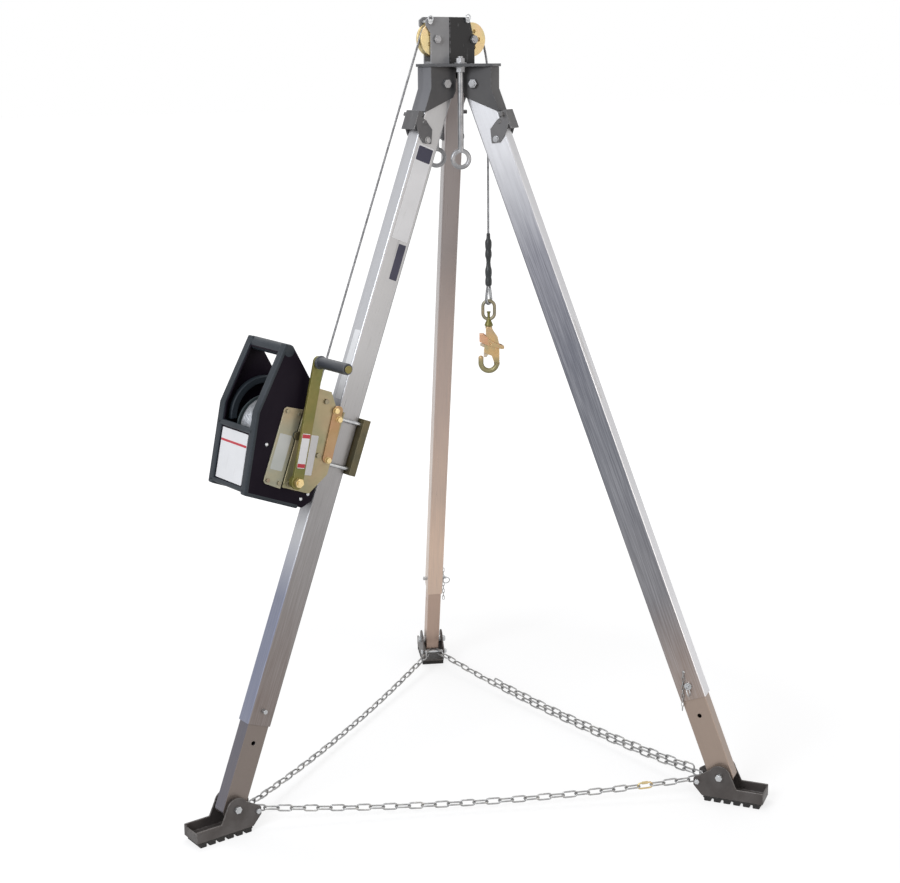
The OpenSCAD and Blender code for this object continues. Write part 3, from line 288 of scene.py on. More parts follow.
LEG_TINT = (0.30, 0.295, 0.30)
# One copy of the alloy for each leg, lit or shaded differently: the base colours, the lighter or darker faces
# across x and the changes along z are painted light and shade.
leg_alloy_painted_light = {
    1: brushed("leg_alloy_1", (0.41, 0.41, 0.415), LEG_TINT, 0.55, 0.36,
               side=("X", 0.4, 0.6, (0.56, 0.565, 0.59)),
               painted_side_fades=((-1.28, -1.46, (0.185, 0.20, 0.285)),),
               painted_light_fades=((-0.75, -1.25, (0.245, 0.235, 0.235)), (-1.25, -1.75, (0.20, 0.16, 0.143)))),
    2: brushed("leg_alloy_2", (0.53, 0.53, 0.55), LEG_TINT, 0.55, 0.36,
               side=("X", 0.4, 0.6, (0.74, 0.74, 0.76)),
               painted_light_fades=((-0.2, -0.5, (0.158, 0.16, 0.193)), (-0.5, -1.0, (0.11, 0.116, 0.14)),
                      (-1.1, -1.5, (0.17, 0.166, 0.178)), (-1.5, -1.8, (0.33, 0.25, 0.205)))),
    3: brushed("leg_alloy_3", (0.31, 0.28, 0.275), LEG_TINT, 0.55, 0.36,
               side=("X", -0.4, -0.6, (1.15, 1.06, 1.0), "MULTIPLY"),
               painted_light_fades=((-0.5, -1.1, (0.56, 0.455, 0.395)), (-1.1, -1.6, (0.70, 0.565, 0.465)))),
}
EXTENSION_TINT = (0.27, 0.22, 0.19)
# One copy of the alloy for each extension, with painted light and shade: they differ in colour only by how they
# are lit, and leg 1's faces across x are painted darker.
extension_alloy_painted_light = {
    1: brushed("extension_alloy_1", (0.22, 0.185, 0.165), EXTENSION_TINT, 0.5, 0.40,
               side=("X", 0.4, 0.6, (0.105, 0.105, 0.135))),
    2: brushed("extension_alloy_2", (0.36, 0.28, 0.23), EXTENSION_TINT, 0.5, 0.40),
    3: brushed("extension_alloy_3", (0.58, 0.42, 0.335), EXTENSION_TINT, 0.5, 0.40),
}
head_paint = coated("head_paint", (0.085, 0.085, 0.09), (0.065, 0.067, 0.072), 0.42, (0.26, 0.26, 0.27))
# Painted light: the bracket faces turned towards −x, towards the key lamp, are lighter.
bracket_paint = coated("bracket_paint", (0.105, 0.102, 0.102), (0.085, 0.084, 0.088), 0.45,
                       (0.22, 0.22, 0.23), side=("X", -0.90, -0.925, (0.20, 0.20, 0.212)), shine=0.15)
# Painted shade: the sheave brackets turn near black past x = −39 mm, on the load side, away from the key lamp.
frame_paint = coated("frame_paint", (0.33, 0.33, 0.335), (0.24, 0.24, 0.25), 0.38, (0.46, 0.46, 0.47),
                     fade=("X", -0.0395, -0.0385, (0.014, 0.0135, 0.0145)), shine=0.3)
latch_paint = coated("latch_paint", (0.13, 0.125, 0.125), (0.085, 0.085, 0.09), 0.5, (0.36, 0.35, 0.34), 0.9,
                     500.0, 0.0003)
gold_zinc = plated("gold_zinc", (0.66, 0.51, 0.25), (0.55, 0.46, 0.25), (0.68, 0.46, 0.29), 0.75, 0.34)
grey_zinc = plated("grey_zinc", (0.30, 0.30, 0.31), (0.22, 0.22, 0.225), (0.36, 0.35, 0.33), 0.7, 0.36, 30.0)
bright_zinc = plated("bright_zinc", (0.52, 0.53, 0.54), (0.42, 0.43, 0.44), (0.58, 0.58, 0.57), 0.85, 0.30,
                     30.0)
winch_zinc = plated("winch_zinc", (0.37, 0.31, 0.18), (0.30, 0.28, 0.16), (0.40, 0.27, 0.17), 0.4, 0.42, 12.0)
copper_zinc = plated("copper_zinc", (0.42, 0.24, 0.125), (0.38, 0.24, 0.10), (0.44, 0.30, 0.17), 0.4, 0.42,
                     14.0)
olive_zinc = plated("olive_zinc", (0.115, 0.095, 0.045), (0.085, 0.075, 0.04), (0.15, 0.11, 0.05), 0.4, 0.44,
                    18.0)
cover_zinc = plated("cover_zinc", (0.34, 0.31, 0.21), (0.29, 0.29, 0.22), (0.36, 0.28, 0.17), 0.4, 0.42, 16.0)
crank_zinc = plated("crank_zinc", (0.175, 0.15, 0.035), (0.135, 0.135, 0.03), (0.21, 0.165, 0.05), 0.4, 0.40,
                    12.0)
hook_zinc = plated("hook_zinc", (0.56, 0.37, 0.17), (0.38, 0.33, 0.19), (0.56, 0.36, 0.22), 0.55, 0.36, 26.0,
                   fade=("Z", -0.088, -0.106, (0.27, 0.24, 0.12)))
link_zinc = plated("link_zinc", (0.22, 0.205, 0.15), (0.28, 0.24, 0.15), (0.26, 0.16, 0.11), 0.6, 0.36, 40.0)
lever_zinc = plated("lever_zinc", (0.62, 0.33, 0.19), (0.54, 0.31, 0.17), (0.64, 0.40, 0.27), 0.5, 0.38, 30.0,
                    fade=("X", -0.006, 0.002, (0.50, 0.36, 0.18)))
gate_zinc = plated("gate_zinc", (0.52, 0.47, 0.38), (0.46, 0.38, 0.26), (0.56, 0.42, 0.32), 0.55, 0.36, 40.0)
shoe_steel = plated("shoe_steel", (0.08, 0.07, 0.066), (0.11, 0.10, 0.096), (0.06, 0.053, 0.05), 0.4, 0.45,
                    16.0)
drum_alloy = brushed("drum_alloy", (0.10, 0.125, 0.13), (0.07, 0.085, 0.09), 0.5, 0.4, (40, 2, 40))
gear_steel = brushed("gear_steel", (0.16, 0.16, 0.165), (0.10, 0.10, 0.10), 0.8, 0.38, (60, 2, 60))
rope_steel = plated("rope_steel", (0.30, 0.30, 0.31), (0.20, 0.20, 0.205), (0.38, 0.38, 0.38), 0.75, 0.38,
                    90.0)
winch_black = coated("winch_black", (0.009, 0.0055, 0.011), (0.006, 0.0035, 0.008), 0.5,
                     (0.02, 0.018, 0.022), 0.1, 1400.0, 0.0001, shine=0.08)
winch_rim = coated("winch_rim", (0.026, 0.033, 0.042), (0.018, 0.024, 0.030), 0.42, (0.05, 0.06, 0.07), 0.2,
                   1400.0, 0.0001, shine=0.25)
label_sheet = coated("label_sheet", (0.86, 0.86, 0.87), (0.80, 0.80, 0.81), 0.42, (0.58, 0.57, 0.56), 0.3,
                     500.0, 0.00004)
label_red = coated("label_red", (0.55, 0.03, 0.05), (0.48, 0.03, 0.045), 0.42, (0.62, 0.25, 0.25), 0.3, 500.0,
                   0.00004)
label_blue = coated("label_blue", (0.022, 0.020, 0.055), (0.016, 0.016, 0.04), 0.42, (0.06, 0.06, 0.10), 0.3,
                    500.0, 0.00004)
label_silver = coated("label_silver", (0.46, 0.47, 0.46), (0.40, 0.42, 0.40), 0.40, (0.60, 0.60, 0.58), 0.4,
                      500.0, 0.00004, 0.3)
# Painted light: a lighter copy of the rope's zinc for the rope wound inside the housing, brightened against the
# shade there.
coil_steel_painted_light = plated("coil_steel_painted_light", (0.42, 0.43, 0.45), (0.30, 0.31, 0.33), (0.50, 0.50, 0.51), 0.6, 0.38, 90.0)
sole_rubber = coated("sole_rubber", (0.016, 0.015, 0.015), (0.026, 0.024, 0.023), 0.78, (0.06, 0.055, 0.05),
                     0.8, 700.0, 0.0003)
grip_plastic = coated("grip_plastic", (0.05, 0.054, 0.064), (0.04, 0.043, 0.05), 0.36, (0.12, 0.125, 0.135),
                      0.5, 1200.0, 0.0001)
sleeve_plastic = coated("sleeve_plastic", (0.022, 0.026, 0.027), (0.014, 0.016, 0.017), 0.42,
                        (0.07, 0.075, 0.075), 0.3, 400.0, 0.0003)

chain_zinc = plated("chain_zinc", (0.40, 0.40, 0.40), (0.30, 0.30, 0.30), (0.46, 0.45, 0.43), 0.8, 0.34, 60.0)

FINISH_OF_SLOT = {
    "head_paint": head_paint, "bracket_paint": bracket_paint, "latch_paint": latch_paint,
    "gold_zinc": gold_zinc, "bright_steel": bright_zinc, "winch_zinc": winch_zinc, "shoe_steel": shoe_steel,
    "drum_alloy": drum_alloy, "gear_steel": gear_steel, "wire_rope": rope_steel, "winch_black": winch_black,
    "sole_rubber": sole_rubber, "grip_plastic": grip_plastic, "sleeve_plastic": sleeve_plastic,
}


# Making of pieces

SMOOTH_EDGES = 38
SMOOTH_TURNED = 50
SMOOTH_ALL = 60
SMOOTH_LINKS = 80
EVEN_WEIGHT = 80
WELD_M = 1e-5
WELD_MM = 1e-3
FLAT_ANGLE = 0.4
WASHER_T = 1.6
HEAD_CHAMFER = 0.7
SHEET_T = 0.4


def soften(bm, width, segments=2, angle=28):
    """Rounds the sharp edges and marks the rounding, where the finish wears."""
    mark = bm.faces.layers.float.get("edge") or bm.faces.layers.float.new("edge")
    sharp = [e for e in bm.edges if e.is_manifold and e.calc_face_angle() > math.radians(angle)]
    rounded = bmesh.ops.bevel(bm, geom=sharp, offset=width, offset_type="OFFSET", affect="EDGES",
                              segments=segments, profile=0.5, material=-1, clamp_overlap=False)
    for face in rounded["faces"]:
        face[mark] = 1.0


def piece(name, bm, place, finish, body, nodes=(), smooth=SMOOTH_EDGES):
    """Sets a mesh of millimetres in its place, gives it its finish and lets it ride on a body."""
    own = bm.verts.layers.float_vector.new("own")
    for vert in bm.verts:
        vert[own] = vert.co * MM
    bm.normal_update()
    # Each face's direction, which the finishes read to paint light or shade on faces turned one way.
    side = bm.faces.layers.float_vector.new("side")
    for face in bm.faces:
        face[side] = face.normal
    mesh = bpy.data.meshes.new(name)
    bm.to_mesh(mesh)
    bm.free()
    mesh.transform(place @ Matrix.Scale(MM, 4))
    mesh.shade_smooth()
    mesh.set_sharp_from_angle(angle=math.radians(smooth))
    mesh.materials.append(finish)
    made = bpy.data.objects.new(name, mesh)
    bpy.context.scene.collection.objects.link(made)
    if smooth < SMOOTH_ALL:
        even = made.modifiers.new("even", "WEIGHTED_NORMAL")
        even.keep_sharp = True
        even.weight = EVEN_WEIGHT
    if body:
        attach(made, body)
    if nodes:
        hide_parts(*nodes)
    return made


def dress(node, place, width=0.8, segments=2, finish=None, smooth=SMOOTH_EDGES, merge=True):
    """A copy of a solid with flat facets merged, unless holes cut through them, and sharp edges rounded."""
    bm = bmesh.new()
    bm.from_mesh(frame["nodes"][node].data)
    bmesh.ops.remove_doubles(bm, verts=bm.verts, dist=WELD_M)
    bmesh.ops.transform(bm, matrix=Matrix.Scale(1 / MM, 4) @ place.inverted(), verts=bm.verts)
    if merge:
        bmesh.ops.dissolve_limit(bm, angle_limit=math.radians(FLAT_ANGLE), verts=bm.verts, edges=bm.edges)
    if width:
        soften(bm, width, segments)
    return piece(f"{node}_made", bm, place, finish or FINISH_OF_SLOT[slot_of[node]], body_of[node], [node],
                 smooth=smooth)


def wire(bm, points, radius, closed=False, sides=8, radii=None, tilts=None, section=None):
    """Adds a tube along the points, with a thickness and a turn for each point if given."""
    curve = bpy.data.curves.new("path", "CURVE")
    curve.dimensions = "3D"
    curve.use_fill_caps = not closed
    spline = curve.splines.new("POLY")
    spline.points.add(len(points) - 1)
    spline.use_cyclic_u = closed
    for k, point in enumerate(points):
        spline.points[k].co = (*point, 1)
        spline.points[k].radius = radii[k] if radii else 1
        spline.points[k].tilt = tilts[k] if tilts else 0
    if section:
        curve.bevel_mode = "OBJECT"
        curve.bevel_object = section
    else:
        curve.bevel_depth = radius
        curve.bevel_resolution = (sides - 4) // 2
    holder = bpy.data.objects.new("path", curve)
    bpy.context.scene.collection.objects.link(holder)
    made = bpy.data.meshes.new_from_object(holder.evaluated_get(bpy.context.evaluated_depsgraph_get()))
    bm.from_mesh(made)
    bpy.data.objects.remove(holder)
    bpy.data.curves.remove(curve)
    bpy.data.meshes.remove(made)
    bmesh.ops.remove_doubles(bm, verts=bm.verts, dist=WELD_MM)
    bmesh.ops.recalc_face_normals(bm, faces=bm.faces)


def polar_arc(cx, cz, r, start, end, steps):
    """Points of an arc in the xz plane, with angles in degrees from x towards z."""
    turn = [math.radians(start + (end - start) * k / steps) for k in range(steps + 1)]
    return [(cx + r * math.cos(a), 0, cz + r * math.sin(a)) for a in turn]


def slab(bm, outline, near, far):
    """Adds an outline of x and z, grown along y from near to far."""
    face = bm.faces.new([bm.verts.new((x, near, z)) for x, z in outline])
    grown = bmesh.ops.extrude_face_region(bm, geom=[face])["geom"]
    moved = [item for item in grown if isinstance(item, bmesh.types.BMVert)]
    bmesh.ops.translate(bm, vec=(0, far - near, 0), verts=moved)
    bmesh.ops.recalc_face_normals(bm, faces=bm.faces)


def turned(bm, profile, steps=24):
    """Adds a profile of radius and height, turned about z."""
    verts = [bm.verts.new((r, 0, z)) for r, z in profile]
    edges = [bm.edges.new(pair) for pair in zip(verts, verts[1:])]
    bmesh.ops.spin(bm, geom=verts + edges, cent=(0, 0, 0), axis=(0, 0, 1), angle=2 * math.pi, steps=steps,
                   use_merge=True)
    bmesh.ops.remove_doubles(bm, verts=bm.verts, dist=WELD_MM)
    bmesh.ops.recalc_face_normals(bm, faces=bm.faces)


def join(bm, part, place=None):
    """Adds a finished part to a mesh, moved to its place."""
    if place:
        bmesh.ops.transform(part, matrix=place, verts=part.verts)
    carrier = bpy.data.meshes.new("part")
    part.to_mesh(carrier)
    part.free()
    bm.from_mesh(carrier)
    bpy.data.meshes.remove(carrier)


def to_y(x, y, z, side=1):
    """A place whose z axis points along y, or against it if side is -1."""
    return Matrix.Translation((x, y, z)) @ Matrix.Rotation(-side * math.pi / 2, 4, "X")


def to_x(x, y, z):
    """A place whose z axis points along x."""
    return Matrix.Translation((x, y, z)) @ Matrix.Rotation(math.pi / 2, 4, "Y")


def card(width, height, thick, corner):
    """A thin plate with round corners, lying in xy."""
    part = bmesh.new()
    size = Matrix.Diagonal((width, height, thick, 1))
    bmesh.ops.create_cube(part, size=1, matrix=Matrix.Translation((0, 0, thick / 2)) @ size)
    upright = [e for e in part.edges if abs(e.verts[0].co.z - e.verts[1].co.z) > thick / 2]
    bmesh.ops.bevel(part, geom=upright, offset=corner, offset_type="OFFSET", affect="EDGES", segments=4,
                    profile=0.5, material=-1, clamp_overlap=True)
    return part


def on_face(centre, across, outward):
    """A place on a face of a piece, with x across it and z out of it."""
    across, outward = Vector(across).normalized(), Vector(outward).normalized()
    place = Matrix((across, outward.cross(across), outward)).transposed().to_4x4()
    place.translation = centre
    return place


def plate(name, size, corner, at, place, finish, body, thick=SHEET_T):
    """A thin bare plate or sheet stuck on a face, a hair off it."""
    bm = bmesh.new()
    join(bm, card(*size, thick, corner), at)
    piece(name, bm, place, finish, body)


def dome(r, h):
    """A rivet's head."""
    part = bmesh.new()
    crown = [(r * math.sin(a), h * math.cos(a)) for a in (0.4, 0.8, 1.15, 1.4)]
    turned(part, [(0, h)] + crown + [(r, 0), (0, 0)], 16)
    return part


def bolt_head(d, h, washer=0.0):
    """A six-sided head with its corners chamfered, on a washer if one is asked for."""
    part = bmesh.new()
    if washer:
        turned(part, [(0, 0), (washer / 2, 0), (washer / 2, 1.2), (washer / 2 - 0.5, WASHER_T),
                      (0, WASHER_T)])
    cap = bmesh.new()
    bmesh.ops.create_cone(cap, cap_ends=True, segments=6, radius1=d / 2, radius2=d / 2, depth=h,
                          matrix=Matrix.Translation((0, 0, h / 2 + (WASHER_T if washer else 0))))
    soften(cap, HEAD_CHAMFER)
    join(part, cap)
    return part


# Wire rope: six strands laid round a core

ROPE_D = 6.4
LAY = 42.0
ROPE_STEP = 3.2
STRANDS = 6
STRAND_POINTS = 4


def rope_section():
    """The outline of six strands side by side."""
    curve = bpy.data.curves.new("strands", "CURVE")
    spline = curve.splines.new("POLY")
    count = STRANDS * STRAND_POINTS
    spline.points.add(count - 1)
    spline.use_cyclic_u = True
    centre_r, strand_r = ROPE_D / 3, ROPE_D / 6
    for k in range(count):
        off = (k % STRAND_POINTS) / STRAND_POINTS * 2 - 1
        off = math.radians(off * 180 / STRANDS)
        inside = max(0.0, strand_r ** 2 - (centre_r * math.sin(off)) ** 2)
        r = centre_r * math.cos(off) + math.sqrt(inside)
        a = 2 * math.pi * k / count
        spline.points[k].co = (r * math.cos(a), r * math.sin(a), 0, 1)
    made = bpy.data.objects.new("strands", curve)
    bpy.context.scene.collection.objects.link(made)
    return made


def along_path(points, step):
    """Points at even steps along a line of points, and how far along each one lies."""
    points = [Vector(p) for p in points]
    runs = [(b - a).length for a, b in zip(points, points[1:])]
    count = max(2, round(sum(runs) / step))
    out, reach, k = [], 0.0, 0
    for n in range(count + 1):
        far = sum(runs) * n / count
        while k < len(runs) - 1 and far > reach + runs[k]:
            reach += runs[k]
            k += 1
        out.append((points[k].lerp(points[k + 1], (far - reach) / runs[k]), far))
    return out


def rope(bm, points, section):
    steps = along_path(points, ROPE_STEP)
    wire(bm, [p for p, far in steps], 0, tilts=[2 * math.pi * far / LAY for p, far in steps], section=section)


SHEAVE_R = 41.0
BOW = 25.0
WIND_R = 62.0
COIL_R = 77.0
COIL_CLEAR = 54.0
WIND_TURNS = 14
WIND_PITCH = 7.0
WIND_STEPS = 96
sheave_1 = head.inverted() @ spot("winch_sheave_turn") / MM
sheave_2 = head.inverted() @ spot("load_sheave_turn") / MM
load_low, load_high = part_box("load_rope")
load_at = head.inverted() @ Vector(((load_low.x + load_high.x) / 2, 0, load_high.z)) / MM
leg_tilt = math.degrees(math.acos(-line_of("leg_extend_1").z))

strands = rope_section()

bow_start = (sheave_2.x + SHEAVE_R * math.cos(math.radians(BOW)),
             sheave_2.z + SHEAVE_R * math.sin(math.radians(BOW)))
bow_r = (load_at.x - bow_start[0]) / (1 - math.cos(math.radians(BOW)))
bm = bmesh.new()
rope(bm, polar_arc(sheave_1.x, sheave_1.z, SHEAVE_R, 180 - leg_tilt, 90, 16)
     + polar_arc(sheave_2.x, sheave_2.z, SHEAVE_R, 90, BOW, 14)
     + polar_arc(load_at.x - bow_r, load_at.z, bow_r, BOW, 0, 20)[1:], strands)
piece("rope_over_head", bm, head, rope_steel, "head", ["head_rope"], smooth=SMOOTH_ALL)

bm = bmesh.new()
leg_1 = leg_frame(1)
lean = math.radians(leg_tilt)
rope_low = drum @ Vector((-WIND_R * MM, 0, COIL_CLEAR * MM))
rope_touch = head @ (Vector((sheave_1.x - SHEAVE_R * math.cos(lean), 0,
                             sheave_1.z + SHEAVE_R * math.sin(lean))) * MM)
rope(bm, [leg_1.inverted() @ rope_low / MM, leg_1.inverted() @ rope_touch / MM], strands)
piece("rope_on_leg", bm, leg_1, rope_steel, "leg_1", ["leg_rope"], smooth=SMOOTH_ALL)

load_start = Vector((load_at.x, 0, load_at.z))
bm = bmesh.new()
load_end = head.inverted() @ Vector((load_low.x / 2 + load_high.x / 2, 0, load_low.z)) / MM
rope(bm, [load_start, load_end], strands)
load_line = piece("rope_to_hook", bm, head, rope_steel, None, ["load_rope"], smooth=SMOOTH_ALL)
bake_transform(load_line)

bm = bmesh.new()
wound = [(-COIL_R * math.cos(a), -WIND_PITCH * a / (2 * math.pi), -COIL_R * math.sin(a))
         for a in (2 * math.pi * k / WIND_STEPS for k in range(WIND_STEPS * WIND_TURNS + 1))]
rope(bm, wound, strands)
piece("rope_on_drum", bm, drum, coil_steel_painted_light, "drum", ["drum_rope"], smooth=SMOOTH_ALL)


# Solids that keep their shape and get softer edges and real finishes

dress("head_plate", head, 1.0)
dress("leg_brackets", head, 1.0, finish=bracket_paint)
dress("sheave_brackets", head, 0.8, finish=frame_paint)
for node in ("winch_sheave", "load_sheave"):
    dress(node, head, 0.6)
for node in ("pivot_bolts", "sheave_axles", "eyebolts"):
    dress(node, head, 0.6, finish=grey_zinc)
dress("keeper_pins", head, 0.3)
for leg in LEGS:
    place = leg_frame(leg)
    dress(f"outer_leg_{leg}", place, 0.5, finish=leg_alloy_painted_light[leg])
    dress(f"inner_leg_{leg}", place, 0.5, finish=extension_alloy_painted_light[leg])
    dress(f"latch_{leg}", place, 0.8)
    dress(f"lock_pin_{leg}", place, 0.4, finish=bright_zinc)
    place = foot_frame(leg)
    dress(f"foot_{leg}", place, 1.6, 3)
    dress(f"sole_{leg}", place, 2.2, 3)
    dress(f"foot_bolts_{leg}", place, 0.5, finish=bright_zinc)
dress("winch_housing", drum, 2.4, 3, merge=False)
dress("winch_bracket", drum, 0.8)
dress("clamp_bar", drum, 0.8, finish=olive_zinc)
dress("gear_cover", drum, 0.8, finish=cover_zinc)
dress("clamp_bolts", drum, 0.6, finish=bright_zinc)
dress("winch_bolts", drum, 0.6, finish=link_zinc)
dress("winch_drum", drum, 0.6)
dress("drum_gear", drum, 0)
dress("crank_shaft", crank, 0, finish=gold_zinc)
dress("crank_arm", crank, 0.8, finish=crank_zinc)
dress("crank_grip", crank, 2.0, 3)


# Winch trims: rims of the housing's front, carry bar, bare plates, screws, guard arch, strap and nuts

HOUSING_NEAR = 52.0
HOUSING_FAR = -140.0
FRONT_EDGE = ((103, 222), (130, 32), (96, -179), (-70, -181))
RIM_W = 24.0
RIM_OUT = 5.0
RIM_DEEP = 7.0
RIM_ROUND = 4.5
CROSS_RIMS = ((-12, -27), (-166, -178))
BAR_X = 91.0
BAR_Z = 206.0


def beside(path, off):
    """A line of points moved sideways by off, to its left."""
    path = [Vector(p) for p in path]
    ways = [(b - a).normalized() for a, b in zip(path, path[1:])]
    out = []
    for k, point in enumerate(path):
        before, after = ways[max(0, k - 1)], ways[min(k, len(ways) - 1)]
        left = Vector((-before.y - after.y, before.x + after.x)).normalized()
        out.append(point + left * off / left.dot(Vector((-after.y, after.x))))
    return out


def front_strip(path, near, far):
    """A rounded strip along a line on the housing's front, between two places across it."""
    part = bmesh.new()
    slab(part, beside(path, RIM_OUT) + beside(path, -RIM_DEEP)[::-1], near, far)
    soften(part, RIM_ROUND, 4)
    return part


def on_front(z):
    """The point of the housing's lower front face at a height."""
    (x0, z0), (x1, z1) = FRONT_EDGE[1:3]
    return (x0 + (x1 - x0) * (z - z0) / (z1 - z0), z)


winch_body = body_of["winch_housing"]
bm = bmesh.new()
join(bm, front_strip(FRONT_EDGE, HOUSING_NEAR - RIM_W, HOUSING_NEAR + 1))
join(bm, front_strip(FRONT_EDGE, HOUSING_FAR - 1, HOUSING_FAR + RIM_W))
for top, low in CROSS_RIMS:
    join(bm, front_strip((on_front(top), on_front(low)), HOUSING_FAR + 4, HOUSING_NEAR - 4))
bar = bmesh.new()
turned(bar, [(0, 0), (12, 0), (15.5, 1.2), (17.4, 5), (17.4, 189), (15.5, 192.8), (12, 194), (0, 194)], 32)
join(bm, bar, to_y(BAR_X, HOUSING_FAR - 1, BAR_Z))
piece("housing_rims", bm, drum, winch_rim, winch_body)

PANEL_Z = -97.0
PANEL = (132.0, 134.0)
PANEL_Y = -44.0
PANEL_T = 1.2
LINE_RISE = 34
front_out = (0.987, 0, -0.159)
panel_x = on_front(PANEL_Z)[0]
panel_at = on_face((panel_x, PANEL_Y, PANEL_Z), ALONG_Y, front_out)
plate("winch_panel", PANEL, 3, panel_at, drum, label_sheet, winch_body, PANEL_T)
line_x, line_z = on_front(PANEL_Z + LINE_RISE)
line_at = on_face((line_x + PANEL_T, PANEL_Y, line_z), ALONG_Y, front_out)
plate("panel_line", (PANEL[0] - 2, 6), 0.8, line_at, drum, label_red, winch_body)

COVER_FACE = 56.0
PLATE_FACE = 57.0
ARM_FACE = 84.0
ARM_BANDS = (("arm_band_low", 45), ("arm_band_high", 123))
SIDE_SCREWS = ((78, -42), (-72, -159), (-90, -142))
plate("cover_plate", (38, 96), 3, on_face((32, COVER_FACE, -52), ALONG_X, ALONG_Y), drum, label_silver,
      winch_body)
bracket_at = on_face((-56, PLATE_FACE, -41), (0.994, 0, -0.11), ALONG_Y)
plate("bracket_plate", (36, 107), 3, bracket_at, drum, label_sheet, winch_body)
arm_body = body_of["crank_arm"]
plate("arm_plate", (24, 92), 3, on_face((0, ARM_FACE, 84), ALONG_X, ALONG_Y), crank, label_sheet, arm_body)
for name, z in ARM_BANDS:
    plate(name, (23, 10), 0.8, on_face((0, ARM_FACE + SHEET_T, z), ALONG_X, ALONG_Y), crank, label_red,
          arm_body)
bm = bmesh.new()
for x, z in SIDE_SCREWS:
    join(bm, dome(5, 2.6), to_y(x, HOUSING_NEAR, z))
piece("side_screws", bm, drum, bright_zinc, winch_body)

GUARD = (4.0, 30.0)
GUARD_IN = 84.0
GUARD_OUT = 104.0
GUARD_LOW = -22
GUARD_HIGH = 94
bm = bmesh.new()
rim = [(x, z) for x, y, z in polar_arc(*GUARD, GUARD_OUT, GUARD_LOW, GUARD_HIGH, 40)
       + polar_arc(*GUARD, GUARD_IN, GUARD_HIGH, GUARD_LOW, 40)]
slab(bm, rim, HOUSING_FAR + 9, HOUSING_FAR + 27)
soften(bm, 4, 3, 40)
piece("drum_guard", bm, drum, winch_rim, winch_body)

STRAP = (30.0, 156.0)
STRAP_T = 5.0
STRAP_NUTS = ((-95, 90), (-112, 70), (-114, -42))
strap_place = on_face((-108, PLATE_FACE, 27), (0.997, 0, -0.075), ALONG_Y)
bm = bmesh.new()
strap = card(*STRAP, STRAP_T, 13)
soften(strap, 1.2)
join(bm, strap, strap_place)
piece("bracket_strap", bm, drum, copper_zinc, winch_body)
bm = bmesh.new()
for x, z in STRAP_NUTS:
    join(bm, bolt_head(16, 7, 18), to_y(x, PLATE_FACE + STRAP_T, z))
piece("strap_nuts", bm, drum, gold_zinc, winch_body)

SHAFT_END = 59.0
bm = bmesh.new()
join(bm, bolt_head(25, 6), to_y(0, SHAFT_END, 0))
piece("drum_nut", bm, drum, olive_zinc, "drum")


# Bare sheets on the legs

HALF_DEEP = 37.5
HALF_WIDE = 25.0
for name, leg, size, at, finish in (
        ("leg_sheet", 1, (54, 268), on_face((0, HALF_WIDE, -314), ALONG_X, ALONG_Y), label_sheet),
        ("leg_band", 1, (49, 40), on_face((0, HALF_WIDE + SHEET_T, -204), ALONG_X, ALONG_Y), label_blue),
        ("leg_strip", 1, (25, 100), on_face((-14, HALF_WIDE, -507), ALONG_X, ALONG_Y), label_blue),
        ("leg_1_mark", 1, (26, 193), on_face((HALF_DEEP, 7, -810), ALONG_Y, ALONG_X), label_sheet),
        ("leg_2_mark", 2, (15, 235), on_face((HALF_DEEP, -13, -817), ALONG_Y, ALONG_X), label_sheet)):
    plate(name, size, 2.5, at, leg_frame(leg), finish, f"leg_{leg}")


# Foot chains: each half span is a row of welded links that hangs on its own foot

WIRE_D = 4.8
LINK_W = 11.0
LINK_PITCH = 35.0
LINK_GAP = 0.6
CHAIN_SAG = 28.0
TAIL_RISE = LINK_W / 2 + 1.6 * WIRE_D
TAIL_LINKS = 7
COUPLER_AT = 4


def link_path(inner_len, inner_w, wire_d):
    """The middle line of a long link, flat in xy, with its weld in the middle of one side."""
    bend = (inner_w + wire_d) / 2
    half = (inner_len - inner_w) / 2
    turn = [math.radians(-90 + 30 * k) for k in range(7)]
    ahead = [(half + bend * math.cos(a), bend * math.sin(a), 0) for a in turn]
    weld = [(1.6, bend, 0), (0, bend, 0), (-1.6, bend, 0)]
    return ahead + weld + [(-x, -y, 0) for x, y, z in ahead]


def link_mesh(inner_len, inner_w, wire_d, sides=8):
    part = bmesh.new()
    path = link_path(inner_len, inner_w, wire_d)
    wire(part, path, wire_d / 2, closed=True, sides=sides,
         radii=[1.14 if k == 8 else 1 for k in range(len(path))])
    return part


span = (spot("chain_1_to_2_drop") - spot("chain_2_to_1_drop")).length / MM
links = 2 * math.floor((span / LINK_PITCH - 1) / 2) + 1
pitch = (span - LINK_GAP + LINK_W) / links
link_len = pitch + LINK_GAP


def link_place(k, rise=0.0, flat=1):
    """Where link k of a span lies: upright at even places, flat at odd ones, or the other way round."""
    x = (link_len - LINK_W) / 2 + k * pitch
    sag = -4 * CHAIN_SAG * x / span * (1 - x / span)
    tilt = math.atan(4 * CHAIN_SAG / span * (1 - 2 * x / span))
    lie = Matrix.Rotation(math.pi / 2, 4, "X") if k % 2 != flat else Matrix.Identity(4)
    return Matrix.Translation((x, 0, sag + rise)) @ Matrix.Rotation(tilt, 4, "Y") @ lie


def chain(start, end, side, tail=None):
    """The half of a span that hangs on foot start, and the spare end that lies doubled on it."""
    node = f"chain_{start}_to_{end}"
    bm = bmesh.new()
    for k in range((links - 2 + side) // 2 + 1):
        if node != "chain_2_to_1" or k != COUPLER_AT:
            join(bm, link_mesh(link_len, LINK_W, WIRE_D), link_place(k))
    for k in tail or ():
        join(bm, link_mesh(link_len, LINK_W, WIRE_D), link_place(k, TAIL_RISE, 0))
    place = set_frame(spot(f"{node}_drop"), line_of(f"{node}_drop"), UP)
    piece(f"{node}_links", bm, place, chain_zinc, node, [node], smooth=SMOOTH_LINKS)
    return place


